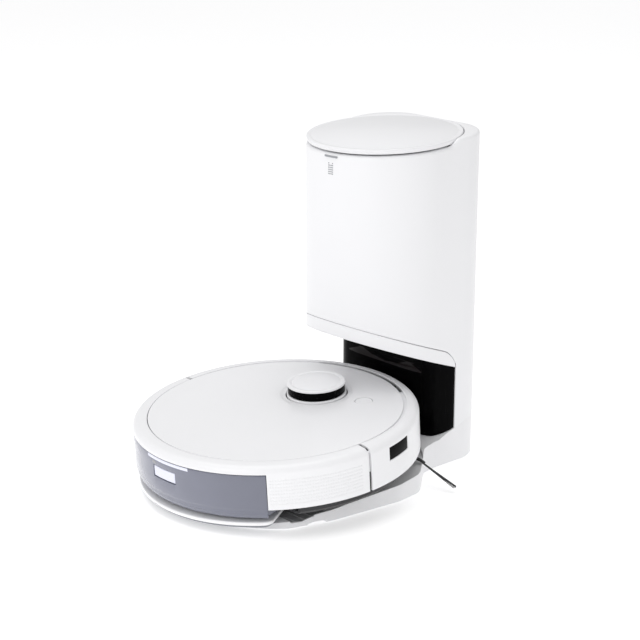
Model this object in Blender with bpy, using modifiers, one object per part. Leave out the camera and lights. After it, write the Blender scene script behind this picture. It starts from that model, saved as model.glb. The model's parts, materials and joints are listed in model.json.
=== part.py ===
"""A round robot vacuum, docked nose first on its self-emptying station.

Metres, +Z up. +Y runs from the robot's tail to the station's back. Every robot piece is drawn in the
robot's own level frame and hung on an empty that leans back on the station's ramp, and the whole
object stands with the middle of its footprint on the origin.
"""

from math import atan2, cos, pi, radians, sin, sqrt, tan

import bmesh
import bpy
from mathutils import Matrix, Vector

# ------------------------------------------------------------------ fits
GAP = 0.0004            # between two pieces that touch
SLIP = 0.0006           # around anything that moves
SEAM = 0.0008           # between two skin panels
STEPS = 60              # facets of a large round piece
TURRET_STEPS = 40       # facets of the laser turret and its hole
SMALL_STEPS = 24        # facets of a small one

# ------------------------------------------------------------------ robot, in its own frame
ROBOT_R = 0.176
ROBOT_RAISE = 0.0195    # height of the robot's own floor plane on the ramp, at its centre
ROBOT_TILT = radians(4.0)
DECK_Z = 0.080
SKIRT_Z = 0.0260
SKIN = 0.003
FLOOR_Z = 0.012         # underside of the chassis
FLOOR_T = 0.0035
CHASSIS_R = 0.1655
CHASSIS_WALL_TOP = 0.045
COVER_R = 0.157
COVER_T = 0.0028
COVER_HINGE_Y = 0.145
COVER_HINGE_Z = 0.0765
COVER_PIN_R = 0.0013
COVER_PIN_HALF = 0.041
BUMPER_TRAVEL = 0.0025
BUMPER_LIP_SHIFT = 0.0047   # keeps the bumper's lip off the cover, pressed or swung open
BUMPER_END_Y = -0.006
BUMPER_GAP = 0.004
WINDOW_SIDE_FROM = radians(8.2)
WINDOW_SIDE_TO = radians(21.5)
WINDOW_SIDE_Z = (0.0530, 0.0700)
WINDOW_FRONT_HALF = radians(12.5)
WINDOW_FRONT_Z = (0.0340, 0.0660)
WINDOW_T = 0.0012

LDS_Y = 0.068
LDS_R = 0.0375
LDS_FLOOR_Z = 0.050
LDS_RIM_Z = 0.0813
LDS_WINDOW_R = 0.0360
LDS_CAP_R = 0.0368
LDS_CAP_T = 0.0030
LDS_TOP_Z = 0.0955
LDS_TRAVEL = 0.0010
ROTOR_R = 0.0250
BUTTON_X = 0.0655
BUTTON_Y = 0.0870
BUTTON_R = 0.0107
BUTTON_TRAVEL = 0.0008

TANK_HALF_ANGLE = radians(45.5)
TANK_TOP = 0.0693
TANK_BOTTOM = 0.0130
TANK_FRONT_Y = -0.0920
TANK_FRONT_HALF = 0.1120
TANK_WALL = 0.0022
RELEASE_HALF = 0.0200
RELEASE_Z = (0.0435, 0.0575)
RELEASE_DEPTH = 0.0070
RELEASE_TRAVEL = 0.0020
FILLER_ANGLE = radians(-124.0)
FILLER_Z = 0.0450
FILLER_R = 0.0080

MOP_R = 0.1605
MOP_CENTRE_Y = -0.0150
MOP_HALF_ANGLE = radians(50.0)
MOP_FRONT_Y = -0.060
MOP_FRONT_HALF = 0.092
MOP_Z = (0.0038, 0.0085)
MOP_PAD_Z = (0.0010, 0.0034)
MOP_CORNER = 0.016

WHEEL_X = 0.1120
WHEEL_R = 0.0340
WHEEL_W = 0.0220
TYRE_T = 0.0070
AXLE_R = 0.0040
ARM_PIVOT_Y = 0.0440
ARM_T = 0.0120
CASTER_Y = 0.1180
CASTER_TRAIL = 0.0060
CASTER_R = 0.0110
CASTER_W = 0.0140
CASTER_FORK_R = 0.0190
BRUSH_Y = 0.0520
BRUSH_R = 0.0165
BRUSH_Z = 0.0185
BRUSH_HALF = 0.0800
SIDE_BRUSH_X = 0.0980
SIDE_BRUSH_Y = 0.1220
SIDE_BRUSH_LEN = 0.0590
SIDE_BRUSH_FREE_LEN = 0.0770   # the tuft that hangs past the platform
SIDE_BRUSH_ARM = 0.0300
SIDE_BRUSH_BEND = 0.0330    # where the tuft that reaches past the platform turns down to the floor
SIDE_BRUSH_DROOP = 0.0226
SIDE_BRUSH_ARMS = 3
SIDE_BRUSH_TURN = radians(10.0)
SIDE_BRUSH_Z = 0.0048
BIN_SIZE = (0.118, 0.108, 0.0330)
BIN_CORNER = (-0.084, -0.084, 0.0400)
BIN_WALL = 0.0020
FILTER_T = 0.0120
FAN_XY = (0.0620, -0.0420)
FAN_R = 0.0220
FAN_Z = (0.0385, 0.0720)
BATTERY_SIZE = (0.160, 0.068, 0.0200)
BATTERY_FRONT_Y = -0.014
BOARD_Z = 0.0440
BOARD_T = 0.0016
CONTACT_X = 0.0450
CONTACT_Y = 0.1400
CONTACT_SIZE = (0.0140, 0.0220, 0.0010)

# ------------------------------------------------------------------ station, robot centre at y = 0
STATION_H = 0.4201      # middle of the lid's top
LID_LEAN = radians(3.0)  # the lid falls towards the robot
TOWER_Y = 0.1750        # centre of the round front
TOWER_R = 0.0975
TOWER_BACK_Y = 0.2757
TOWER_CORNER = 0.054
TOWER_WALL = 0.0030
LID_T = 0.0062
LID_LEDGE = 0.0085      # lid's top above the ledge that it closes on
LEDGE_W = 0.0110         # width of the ledge, its wall included
LID_GAP = 0.0013         # between the lid's rim and the shoulder behind it
SHOULDER_DROP = 0.0005   # shoulder below the lid's top
LID_PIN_R = 0.0014
LID_PIN_Y = 0.2645
LID_PIN_HALF = 0.0530
UNDER_Z = 0.2058        # underside of the overhang, carried down to y = 0
UNDER_SLOPE = -0.370
VISOR_T = 0.0185
VISOR_FLOOR = 0.0030
SIDE_WALL_Y = 0.2110    # from here back the tower's sides run down to the base
COLUMN_Y = 0.1800
COLUMN_BACK_Y = 0.2100
COLUMN_CORNER = 0.030
IR_HALF = 0.067
IR_Z = (0.1180, 0.1290)
IR_T = 0.0015
PLATFORM_FRONT_R = 0.1480
PLATFORM_BOTTOM = 0.0014
RAMP_LIP_Z = 0.0040
RAMP_BREAK_Y = -0.018
RAMP_CLEAR = 0.0012     # robot's own floor plane above the platform
BASE_BACK_Z = 0.0560
ROBOT_CLEAR = 0.0035    # between the robot's circle and the base around it
TRACK_X = (0.0840, 0.1280)
TRACK_Y = (-0.0860, 0.0620)
TRACK_SCALLOP_R = 0.032
TRACK_SCALLOP_Y = 0.016
TRACK_SCALLOP_X = 0.1060
TRACK_T = 0.0016
INLET_HALF = (0.0760, 0.0140)
INLET_SEAL_W = 0.0022
INLET_SEAL_RISE = 0.0024
DUCT_HALF = (0.0280, 0.0035)
DUCT_R = 0.0150
DUCT_WALL = 0.0018
DUCT_Y = 0.2500
DUCT_TOP_Z = 0.2420
PIN_SIZE = (0.0110, 0.0180)
PIN_TRAVEL = 0.0030
FOOT_T = 0.0030
BAG_SIZE = (0.124, 0.096, 0.130)
BAG_Y = 0.1580
BAG_Z = 0.2540
COLLAR_T = 0.0030
STATION_FAN_Y = 0.1480
STATION_FAN_R = 0.0420
STATION_FAN_Z = (0.1920, 0.2320)
INDICATOR_Z = 0.4030
INDICATOR_X = (-0.0024, 0.0178)
INDICATOR_DEPTH = 0.0056

PARTS = "robot_vacuum_and_station"
CUTTERS = "cutters"

WHITE = (0.86, 0.86, 0.88)
BLACK = (0.012, 0.012, 0.013)
GREY = (0.20, 0.20, 0.21)
DARK = (0.045, 0.045, 0.05)


# ------------------------------------------------------------------ helpers
def clear_scene():
    for obj in list(bpy.data.objects):
        bpy.data.objects.remove(obj, do_unlink=True)


def collection(name):
    found = bpy.data.collections.get(name)
    if not found:
        found = bpy.data.collections.new(name)
        bpy.context.scene.collection.children.link(found)
    return found


def material(name, colour, roughness=0.4, metallic=0.0):
    mat = bpy.data.materials.new(name)
    mat.use_nodes = True
    shader = mat.node_tree.nodes["Principled BSDF"]
    shader.inputs["Base Color"].default_value = (*colour, 1.0)
    shader.inputs["Roughness"].default_value = roughness
    shader.inputs["Metallic"].default_value = metallic
    return mat


def empty(name, location=(0, 0, 0), parent=None):
    obj = bpy.data.objects.new(name, None)
    obj.empty_display_size = 0.02
    obj.location = location
    obj.parent = parent
    collection(PARTS).objects.link(obj)
    return obj


def raw(name, mesh, location=(0, 0, 0)):
    """A new object that is neither part nor cutter yet."""
    obj = bpy.data.objects.new(name, mesh)
    obj.location = location
    bpy.context.scene.collection.objects.link(obj)
    return obj


def from_bmesh(name, bm):
    mesh = bpy.data.meshes.new(name)
    bmesh.ops.recalc_face_normals(bm, faces=bm.faces)
    bm.to_mesh(mesh)
    bm.free()
    return raw(name, mesh)


def settle(obj):
    """Writes an object's curve or modifiers into a plain welded mesh with its faces pointing out."""
    bpy.context.view_layer.update()
    graph = bpy.context.evaluated_depsgraph_get()
    mesh = bpy.data.meshes.new_from_object(obj.evaluated_get(graph))
    bm = bmesh.new()
    bm.from_mesh(mesh)
    bm.transform(obj.matrix_world)
    bmesh.ops.remove_doubles(bm, verts=bm.verts, dist=0.00001)
    bmesh.ops.dissolve_degenerate(bm, edges=bm.edges, dist=0.00001)
    bmesh.ops.recalc_face_normals(bm, faces=bm.faces)
    bm.to_mesh(mesh)
    bm.free()
    name = obj.name
    bpy.data.objects.remove(obj, do_unlink=True)
    return raw(name, mesh)


def block(name, low, high, bevel=0.0):
    low, high = Vector(low), Vector(high)
    bm = bmesh.new()
    bmesh.ops.create_cube(bm, size=1.0)
    for vert in bm.verts:
        vert.co = Vector([(low[i] + high[i]) / 2 + vert.co[i] * (high[i] - low[i]) for i in range(3)])
    if bevel:
        bmesh.ops.bevel(bm, geom=bm.edges[:], offset=bevel, segments=2, profile=0.5, affect="EDGES")
    return from_bmesh(name, bm)


def rod(name, start, end, radius, radius_end=None, steps=SMALL_STEPS):
    start, end = Vector(start), Vector(end)
    along = end - start
    turn = along.to_track_quat("Z", "Y").to_matrix().to_4x4()
    bm = bmesh.new()
    bmesh.ops.create_cone(bm, cap_ends=True, segments=steps, radius1=radius,
                          radius2=radius if radius_end is None else radius_end, depth=along.length,
                          matrix=Matrix.Translation((start + end) / 2) @ turn)
    return from_bmesh(name, bm)


def turned(name, profile, centre=(0, 0, 0), steps=STEPS, axis="Z"):
    """Spins a profile of (radius, height) points; ends on the axis close it, else it is a ring."""
    closed = profile[0][0] > 0
    count = len(profile)
    edges = [(i, (i + 1) % count) for i in range(count if closed else count - 1)]
    mesh = bpy.data.meshes.new(name)
    mesh.from_pydata([(r, 0, z) for r, z in profile], edges, [])
    obj = raw(name, mesh)
    screw = obj.modifiers.new("turn", "SCREW")
    screw.axis = "Z"
    screw.steps = screw.render_steps = steps
    screw.use_merge_vertices = True
    screw.merge_threshold = 0.00001
    if axis == "X":
        obj.rotation_euler = (0, pi / 2, 0)
    obj.location = centre
    return settle(obj)


def arc(centre, radius, start, end, count):
    return [Vector((centre[0] + radius * cos(start + (end - start) * i / count),
                    centre[1] + radius * sin(start + (end - start) * i / count))) for i in range(count + 1)]


def rounded(points, radii, count=5):
    """The closed outline through points, each corner replaced by an arc of its own radius."""
    outline = []
    total = len(points)
    for i, radius in enumerate(radii):
        corner = Vector(points[i])
        if radius == 0:
            outline.append(corner)
            continue
        to_last = (Vector(points[i - 1]) - corner).normalized()
        to_next = (Vector(points[(i + 1) % total]) - corner).normalized()
        half = to_last.angle(to_next) / 2
        reach = radius / tan(half)
        centre = corner + (to_last + to_next).normalized() * radius / sin(half)
        first = corner + to_last * reach - centre
        last = corner + to_next * reach - centre
        start = atan2(first.y, first.x)
        sweep = (atan2(last.y, last.x) - start + pi) % (2 * pi) - pi
        outline += arc(centre, radius, start, start + sweep, count)
    return outline


def mirrored(half):
    """A closed outline from its right half, which runs from x = 0 round to x = 0."""
    left = [Vector((-p.x, p.y)) for p in reversed(half) if abs(p.x) > 0.00001]
    return half + left


def plate(name, outline, low, high, side=False):
    """A flat outline made solid from low to high: along Z, or with side along X, drawn in (y, z)."""
    curve = bpy.data.curves.new(name, "CURVE")
    curve.dimensions = "2D"
    curve.fill_mode = "BOTH"
    curve.extrude = (high - low) / 2
    spline = curve.splines.new("POLY")
    spline.points.add(len(outline) - 1)
    for point, at in zip(spline.points, outline):
        point.co = (at[0], at[1], 0, 1)
    spline.use_cyclic_u = True
    obj = raw(name, curve)
    middle = (low + high) / 2
    if side:
        obj.rotation_euler = (pi / 2, 0, pi / 2)
        obj.location = (middle, 0, 0)
    else:
        obj.location = (0, 0, middle)
    return settle(obj)


def combine(target, tools, operation="DIFFERENCE"):
    """Adds one Boolean for each tool, which becomes a hidden cutter."""
    for tool in tools if isinstance(tools, (list, tuple)) else [tools]:
        change = target.modifiers.new(tool.name, "BOOLEAN")
        change.operation = operation
        change.solver = "EXACT"
        change.object = tool
        for holder in tool.users_collection:
            holder.objects.unlink(tool)
        collection(CUTTERS).objects.link(tool)
        tool.hide_render = True
        tool.display_type = "WIRE"
    return target


def cutters_of(obj):
    """An object's cutters, and theirs in turn."""
    found = []
    for change in obj.modifiers:
        if change.type == "BOOLEAN":
            found += [change.object] + cutters_of(change.object)
    return found


def part(obj, parent, colour, roughness=0.4, metallic=0.0, smooth=True):
    """Makes an object a named part: its material, its shading, and its parent's frame."""
    cutters = cutters_of(obj)
    for holder in obj.users_collection:
        holder.objects.unlink(obj)
    collection(PARTS).objects.link(obj)
    mesh = obj.data
    mesh.materials.clear()
    mesh.materials.append(material(obj.name, colour, roughness, metallic))
    if smooth:
        mesh.shade_smooth()
        mesh.set_sharp_from_angle(angle=radians(32))
    for item in [obj] + cutters:
        offset = parent_offset(parent)
        item.parent = parent
        item.location = Vector(item.location) - offset
    return obj


def parent_offset(parent):
    """A pivot's place in the robot's or the station's frame, where all geometry is drawn."""
    offset = Vector()
    while parent and parent.parent and parent.parent.name != "object":
        offset += parent.location
        parent = parent.parent
    return offset


# ------------------------------------------------------------------ lines of the side view
def own_plane(y):
    """Height of the robot's own floor plane above the ground."""
    return ROBOT_RAISE + tan(ROBOT_TILT) * y


def platform_top(y):
    if y >= RAMP_BREAK_Y:
        return own_plane(y) - RAMP_CLEAR
    top = own_plane(RAMP_BREAK_Y) - RAMP_CLEAR
    return RAMP_LIP_Z + (top - RAMP_LIP_Z) * (y + PLATFORM_FRONT_R) / (RAMP_BREAK_Y + PLATFORM_FRONT_R)


def underside(y):
    return UNDER_Z + UNDER_SLOPE * y


def seam_line(y):
    return underside(y) + VISOR_T


def base_profile(lift=0.0):
    """Side view (y, z) of the base's highest line, from the lip to the back."""
    line = [(-PLATFORM_FRONT_R - 0.004, RAMP_LIP_Z - 0.0004),
            (RAMP_BREAK_Y, platform_top(RAMP_BREAK_Y)),
            (0.120, platform_top(0.120)),
            (0.140, 0.0300),
            (0.152, 0.0342),
            (0.184, 0.0368),
            (0.1995, 0.0430),
            (0.225, 0.0505),
            (0.250, BASE_BACK_Z),
            (TOWER_BACK_Y + 0.010, BASE_BACK_Z)]
    return [Vector((y, z + lift)) for y, z in line]


def tower_outline(inset=0.0):
    r = TOWER_R - inset
    corner = TOWER_CORNER - inset
    back = TOWER_BACK_Y - inset
    half = arc((0, TOWER_Y), r, -pi / 2, 0, 16)
    half += arc((r - corner, back - corner), corner, 0, pi / 2, 8)
    half.append(Vector((0, back)))
    half[0] = Vector((0, TOWER_Y - r))
    return mirrored(half)


# ------------------------------------------------------------------ station
def make_platform(station):
    r = PLATFORM_FRONT_R
    start = radians(-36.5)
    nose = arc((0, 0), r, -pi / 2, start, 12)
    nose[0] = Vector((0, -r))
    wall = TOWER_R - 0.0005
    side = rounded([nose[-1], (0.1360, -0.0330), (0.1470, 0.0660), (0.1420, 0.1050), (0.1010, 0.1530),
                    (wall, 0.1750), (wall, 0.2200)],
                   [0, 0.080, 0.050, 0.034, 0.020, 0.020, 0])
    corner = arc((wall - TOWER_CORNER, TOWER_BACK_Y - TOWER_CORNER), TOWER_CORNER, 0, pi / 2, 8)
    half = nose[:-1] + side[:-1] + corner + [Vector((0, TOWER_BACK_Y))]
    platform = plate("base_platform", mirrored(half), PLATFORM_BOTTOM, BASE_BACK_Z + 0.010)

    top = [Vector((-0.200, 0.100))] + base_profile() + [Vector((TOWER_BACK_Y + 0.010, 0.100))]
    combine(platform, plate("cut_platform_top", top, -0.160, 0.160, side=True))

    bowl = [Vector((0.100, 0.110)), Vector((0.100, platform_top(0.100) + 0.0001)),
            Vector((0.178, platform_top(0.178))), Vector((0.190, 0.110))]
    clearing = plate("cut_robot_bowl", bowl, -0.150, 0.150, side=True)
    circle = rod("cut_robot_circle", (0, 0, 0), (0, 0, 0.150), ROBOT_R + ROBOT_CLEAR, steps=STEPS)
    combine(clearing, circle, "INTERSECT")
    combine(platform, clearing)

    inlet_y = station_y(BRUSH_Y)
    top_z = platform_top(inlet_y)
    seat = 0.0012
    outer = (INLET_HALF[0] + INLET_SEAL_W + GAP, INLET_HALF[1] + INLET_SEAL_W + GAP)
    combine(platform, block("cut_seal_seat", (-outer[0], inlet_y - outer[1], top_z - seat),
                            (outer[0], inlet_y + outer[1], top_z + 0.02)))
    duct_z = 0.0090
    combine(platform, block("cut_inlet", (-INLET_HALF[0], inlet_y - INLET_HALF[1], duct_z - DUCT_HALF[1]),
                            (INLET_HALF[0], inlet_y + INLET_HALF[1], top_z + 0.01)))
    combine(platform, block("cut_duct_channel", (-DUCT_HALF[0], inlet_y, duct_z - DUCT_HALF[1]),
                            (DUCT_HALF[0], DUCT_Y + 0.010, duct_z + DUCT_HALF[1])))
    combine(platform, rod("cut_duct_socket", (0, DUCT_Y, duct_z), (0, DUCT_Y, 0.090), DUCT_R + GAP))

    for side_name, sign in (("left", -1), ("right", 1)):
        x = sign * CONTACT_X
        y = station_y(CONTACT_Y)
        half_x, half_y = PIN_SIZE[0] / 2 + SLIP, PIN_SIZE[1] / 2 + SLIP
        combine(platform, block(f"cut_pin_well_{side_name}", (x - half_x, y - half_y,
                                                              pin_foot() - PIN_TRAVEL - SLIP),
                                (x + half_x, y + half_y, 0.090)))
        combine(platform, track_solid(f"cut_track_{side_name}", sign, GAP, -TRACK_T - GAP, 0.012))
        combine(platform, block(f"cut_side_notch_{side_name}", (sign * 0.132 - 0.008, -0.0650, 0.0),
                                (sign * 0.132 + 0.008, -0.0420, 0.0044)))
    for name, low, high in foot_boxes():
        combine(platform, block("cut_" + name, (low[0] - GAP, low[1] - GAP, -0.001),
                                (high[0] + GAP, high[1] + GAP, high[2] + GAP)))
    part(platform, station, WHITE, 0.35)


def station_y(own_y, own_z=0.0):
    """Where a point of the robot's frame lies along the station."""
    return own_y * cos(ROBOT_TILT) - own_z * sin(ROBOT_TILT)


def station_z(own_y, own_z):
    return ROBOT_RAISE + own_y * sin(ROBOT_TILT) + own_z * cos(ROBOT_TILT)


def track_outline(sign, grow):
    """The ribbed track's plan: straight sides, and a round bay outside the docked wheel."""
    x0, x1 = TRACK_X[0] - grow, TRACK_X[1] + grow
    y0, y1 = TRACK_Y[0] - grow, TRACK_Y[1] + grow
    reach = TRACK_SCALLOP_R + grow
    bend = sqrt(reach ** 2 - (x1 - TRACK_SCALLOP_X) ** 2)
    angle = atan2(bend, x1 - TRACK_SCALLOP_X)
    points = [Vector((x0, y0)), Vector((x1 - 0.006, y0)), Vector((x1, y0 + 0.010))]
    points += arc((TRACK_SCALLOP_X, TRACK_SCALLOP_Y), reach, -angle, angle, 8)
    points += [Vector((x1 - 0.010, y1)), Vector((x0, y1))]
    return [Vector((sign * p.x, p.y)) for p in points]


def track_solid(name, sign, grow, low, high):
    """The track's plan between two surfaces that follow the platform's top."""
    body = plate(name, track_outline(sign, grow), 0.0, 0.060)
    start, end = TRACK_Y[0] - 0.010, TRACK_Y[1] + 0.010
    line = [(start, platform_top(start)), (RAMP_BREAK_Y, platform_top(RAMP_BREAK_Y)),
            (end, platform_top(end))]
    band = [Vector((y, z + low)) for y, z in line] + [Vector((y, z + high)) for y, z in reversed(line)]
    reach = (0.050, 0.160) if sign > 0 else (-0.160, -0.050)
    combine(body, plate("keep_" + name, band, *reach, side=True), "INTERSECT")
    return body


def foot_boxes():
    z = PLATFORM_BOTTOM + FOOT_T - 0.001
    return [("foot_front", (-0.080, -0.118, 0.0), (0.080, -0.104, z)),
            ("foot_rear", (-0.070, 0.250, 0.0), (0.070, 0.264, z))]


def pin_foot():
    return 0.0070


def make_station_trim(station):
    for name, low, high in foot_boxes():
        part(block(name, low, high, 0.0006), station, DARK, 0.8)
    inlet_y = station_y(BRUSH_Y)
    base = platform_top(inlet_y) - 0.0012 + GAP
    outer = (INLET_HALF[0] + INLET_SEAL_W, INLET_HALF[1] + INLET_SEAL_W)
    seal = block("inlet_seal", (-outer[0], inlet_y - outer[1], base),
                 (outer[0], inlet_y + outer[1], base + INLET_SEAL_RISE))
    combine(seal, block("cut_seal", (-INLET_HALF[0], inlet_y - INLET_HALF[1], 0),
                        (INLET_HALF[0], inlet_y + INLET_HALF[1], 0.060)))
    part(seal, station, DARK, 0.7)
    for side_name, sign in (("left", -1), ("right", 1)):
        track = track_solid(f"wheel_track_{side_name}", sign, 0.0, -TRACK_T, -0.0002)
        part(track, station, GREY, 0.6)
        y = station_y(CONTACT_Y)
        x = sign * CONTACT_X
        pin = block(f"charge_pin_{side_name}", (x - PIN_SIZE[0] / 2, y - PIN_SIZE[1] / 2, pin_foot()),
                    (x + PIN_SIZE[0] / 2, y + PIN_SIZE[1] / 2,
                     station_z(CONTACT_Y - PIN_SIZE[1] / 2, FLOOR_Z - 0.0008)), 0.0012)
        part(pin, empty(f"charge_pin_{side_name}_axis", (x, y, pin_foot()), station),
             (0.75, 0.74, 0.70), 0.3, 1.0)


def lean(obj):
    """Tips a level solid with the lid, about the middle of the lid's top."""
    middle = Matrix.Translation((0, TOWER_Y, STATION_H))
    obj.data.transform(middle @ Matrix.Rotation(LID_LEAN, 4, "X") @ middle.inverted())
    return obj


def lean_top(obj):
    """Slants the upper end of an upright solid to follow the lid."""
    top = max(vert.co.z for vert in obj.data.vertices)
    for vert in obj.data.vertices:
        if top - vert.co.z < 0.001:
            vert.co.z += tan(LID_LEAN) * (vert.co.y - TOWER_Y)
    return obj


def front_region(low_line, high_line, start=0.060, end=SIDE_WALL_Y):
    """Side view of the space between two slanted lines, in front of the tower's side walls."""
    return [Vector((start, low_line(start))), Vector((end, low_line(end))),
            Vector((end, high_line(end))), Vector((start, high_line(start)))]


def make_tower(station):
    ledge = STATION_H - LID_LEDGE
    housing = lean_top(plate("tower_housing", tower_outline(), 0.0300, STATION_H - SHOULDER_DROP))
    combine(housing, lean_top(plate("cut_tower_bay", tower_outline(TOWER_WALL), 0.0, ledge - 0.0030)))
    opening = plate("cut_lid_opening", tower_outline(LEDGE_W), ledge - 0.020, STATION_H + 0.010)
    mouth = rod("keep_lid_opening", (0, TOWER_Y, 0.3), (0, TOWER_Y, 0.5), TOWER_R - LEDGE_W + TOWER_WALL)
    combine(opening, mouth, "INTERSECT")
    combine(housing, opening)
    combine(housing, lean(rod("cut_lid_pocket", (0, TOWER_Y, ledge), (0, TOWER_Y, STATION_H + 0.02),
                              TOWER_R + LID_GAP, steps=STEPS)))
    below = [Vector((-0.010, 0.0)), Vector((SIDE_WALL_Y, 0.0)),
             Vector((SIDE_WALL_Y, seam_line(SIDE_WALL_Y - 0.010) - 0.003)),
             Vector((SIDE_WALL_Y - 0.003, seam_line(SIDE_WALL_Y - 0.010) - 0.0005)),
             Vector((SIDE_WALL_Y - 0.010, seam_line(SIDE_WALL_Y - 0.010))),
             Vector((-0.010, seam_line(-0.010)))]
    combine(housing, plate("cut_tower_front", below, -0.150, 0.150, side=True))
    base = base_profile(SEAM / 2)
    under = [Vector((base[0].x, 0.0))] + base + [Vector((base[-1].x, 0.0))]
    combine(housing, plate("cut_tower_foot", under, -0.150, 0.150, side=True))
    swing = 0.012
    room = LID_PIN_HALF - 0.0060
    combine(housing, lean(block("cut_lid_swing", (-room, LID_PIN_Y - 0.014, ledge - swing),
                                (room, TOWER_Y + TOWER_R + LID_GAP, STATION_H + 0.01))))
    combine(housing, lean(lid_rod("cut_lid_pin", LID_PIN_HALF + GAP, LID_PIN_R + GAP)))
    front = TOWER_Y - TOWER_R
    combine(housing, block("cut_indicator", (INDICATOR_X[0] - GAP, front - 0.010, INDICATOR_Z - 0.0016),
                           (INDICATOR_X[1] + GAP, front + INDICATOR_DEPTH + GAP, INDICATOR_Z + 0.0016)))
    combine(housing, block("cut_power_inlet", (0.0300, TOWER_BACK_Y - 0.010, 0.0700),
                           (0.0580, TOWER_BACK_Y + 0.010, 0.0900)))
    part(housing, station, WHITE, 0.35)

    band = plate("visor_band", tower_outline(), 0.100, 0.260)
    wedge = front_region(underside, lambda y: seam_line(y) - SEAM, end=SIDE_WALL_Y - SEAM)
    combine(band, plate("keep_visor", wedge, -0.150, 0.150, side=True), "INTERSECT")
    tray = plate("cut_visor", tower_outline(TOWER_WALL), 0.100, 0.260)
    room = front_region(lambda y: underside(y) + VISOR_FLOOR, lambda y: seam_line(y) + 0.010,
                        end=SIDE_WALL_Y - TOWER_WALL)
    combine(tray, plate("keep_visor_room", room, -0.150, 0.150, side=True), "INTERSECT")
    combine(band, tray)
    part(band, station, WHITE, 0.35)

    lamp = block("indicator_lamp", (INDICATOR_X[0], front - 0.010, INDICATOR_Z - 0.0012),
                 (INDICATOR_X[1], front + INDICATOR_DEPTH, INDICATOR_Z + 0.0012))
    combine(lamp, rod("keep_indicator", (0, TOWER_Y, 0), (0, TOWER_Y, STATION_H), TOWER_R - 0.0006,
                      steps=STEPS),
            "INTERSECT")
    part(lamp, station, (0.35, 0.36, 0.38), 0.3)
    socket = block("power_inlet", (0.0304, TOWER_BACK_Y - 0.0180, 0.0704),
                   (0.0576, TOWER_BACK_Y - 0.0006, 0.0896))
    combine(socket, block("cut_socket", (0.0340, TOWER_BACK_Y - 0.0130, 0.0740),
                          (0.0540, TOWER_BACK_Y + 0.001, 0.0860)))
    part(socket, station, BLACK, 0.5)


def lid_rod(name, half, radius):
    """A rod along the lid's hinge, before the lid leans."""
    z = STATION_H - LID_T / 2
    return rod(name, (-half, LID_PIN_Y, z), (half, LID_PIN_Y, z), radius, steps=16)


def make_lid(station):
    arm = LID_PIN_Y - TOWER_Y
    drop = LID_T / 2
    axis = empty("lid_axis", (0, TOWER_Y + arm * cos(LID_LEAN) + drop * sin(LID_LEAN),
                              STATION_H + arm * sin(LID_LEAN) - drop * cos(LID_LEAN)), station)
    chamfer = 0.0018
    lid = turned("lid", [(0, STATION_H), (TOWER_R - 0.0008, STATION_H), (TOWER_R, STATION_H - 0.0008),
                         (TOWER_R, STATION_H - LID_T + chamfer), (TOWER_R - chamfer, STATION_H - LID_T),
                         (0, STATION_H - LID_T)], (0, TOWER_Y, 0))
    combine(lean(lid), lean(lid_rod("cut_lid_bore", LID_PIN_HALF + 0.010, LID_PIN_R + GAP)))
    part(lid, axis, WHITE, 0.3)
    part(lean(lid_rod("lid_hinge_pin", LID_PIN_HALF, LID_PIN_R)), station, (0.6, 0.6, 0.62), 0.3, 1.0)


def column_outline(inset=0.0):
    """The black column's bowed front with its rounded vertical corners, and its open back."""
    half_width = TOWER_R - 0.0010 - inset
    front = COLUMN_Y + inset
    corner = COLUMN_CORNER - inset
    back = COLUMN_BACK_Y + (0.001 if inset else 0.0)
    half = [Vector((0, front)), Vector((half_width * 0.45, front + 0.0008))]
    half += arc((half_width - corner, front + corner), corner, -pi / 2, 0, 8)
    half += [Vector((half_width, back)), Vector((0, back))]
    return mirrored(half)


def make_column(station):
    column = plate("column_front", column_outline(), 0.0300, 0.160)
    combine(column, plate("cut_column", column_outline(TOWER_WALL), 0.0, 0.200))
    foot = base_profile(GAP)
    under = [Vector((foot[0].x, 0.0))] + foot + [Vector((foot[-1].x, 0.0))]
    combine(column, plate("cut_column_foot", under, -0.150, 0.150, side=True))
    over = [Vector((0.120, underside(0.120) - GAP)), Vector((0.220, underside(0.220) - GAP)),
            Vector((0.220, 0.250)), Vector((0.120, 0.250))]
    combine(column, plate("cut_column_top", over, -0.150, 0.150, side=True))
    combine(column, block("cut_ir", (-IR_HALF - GAP, 0.170, IR_Z[0] - GAP),
                          (IR_HALF + GAP, COLUMN_Y + IR_T + GAP, IR_Z[1] + GAP)))
    part(column, station, BLACK, 0.12)
    window = block("ir_window", (-IR_HALF, COLUMN_Y + 0.0001, IR_Z[0]), (IR_HALF, COLUMN_Y + IR_T, IR_Z[1]))
    combine(window, plate("keep_ir", column_outline(), 0.100, 0.150), "INTERSECT")
    part(window, station, (0.03, 0.01, 0.012), 0.1)


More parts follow.
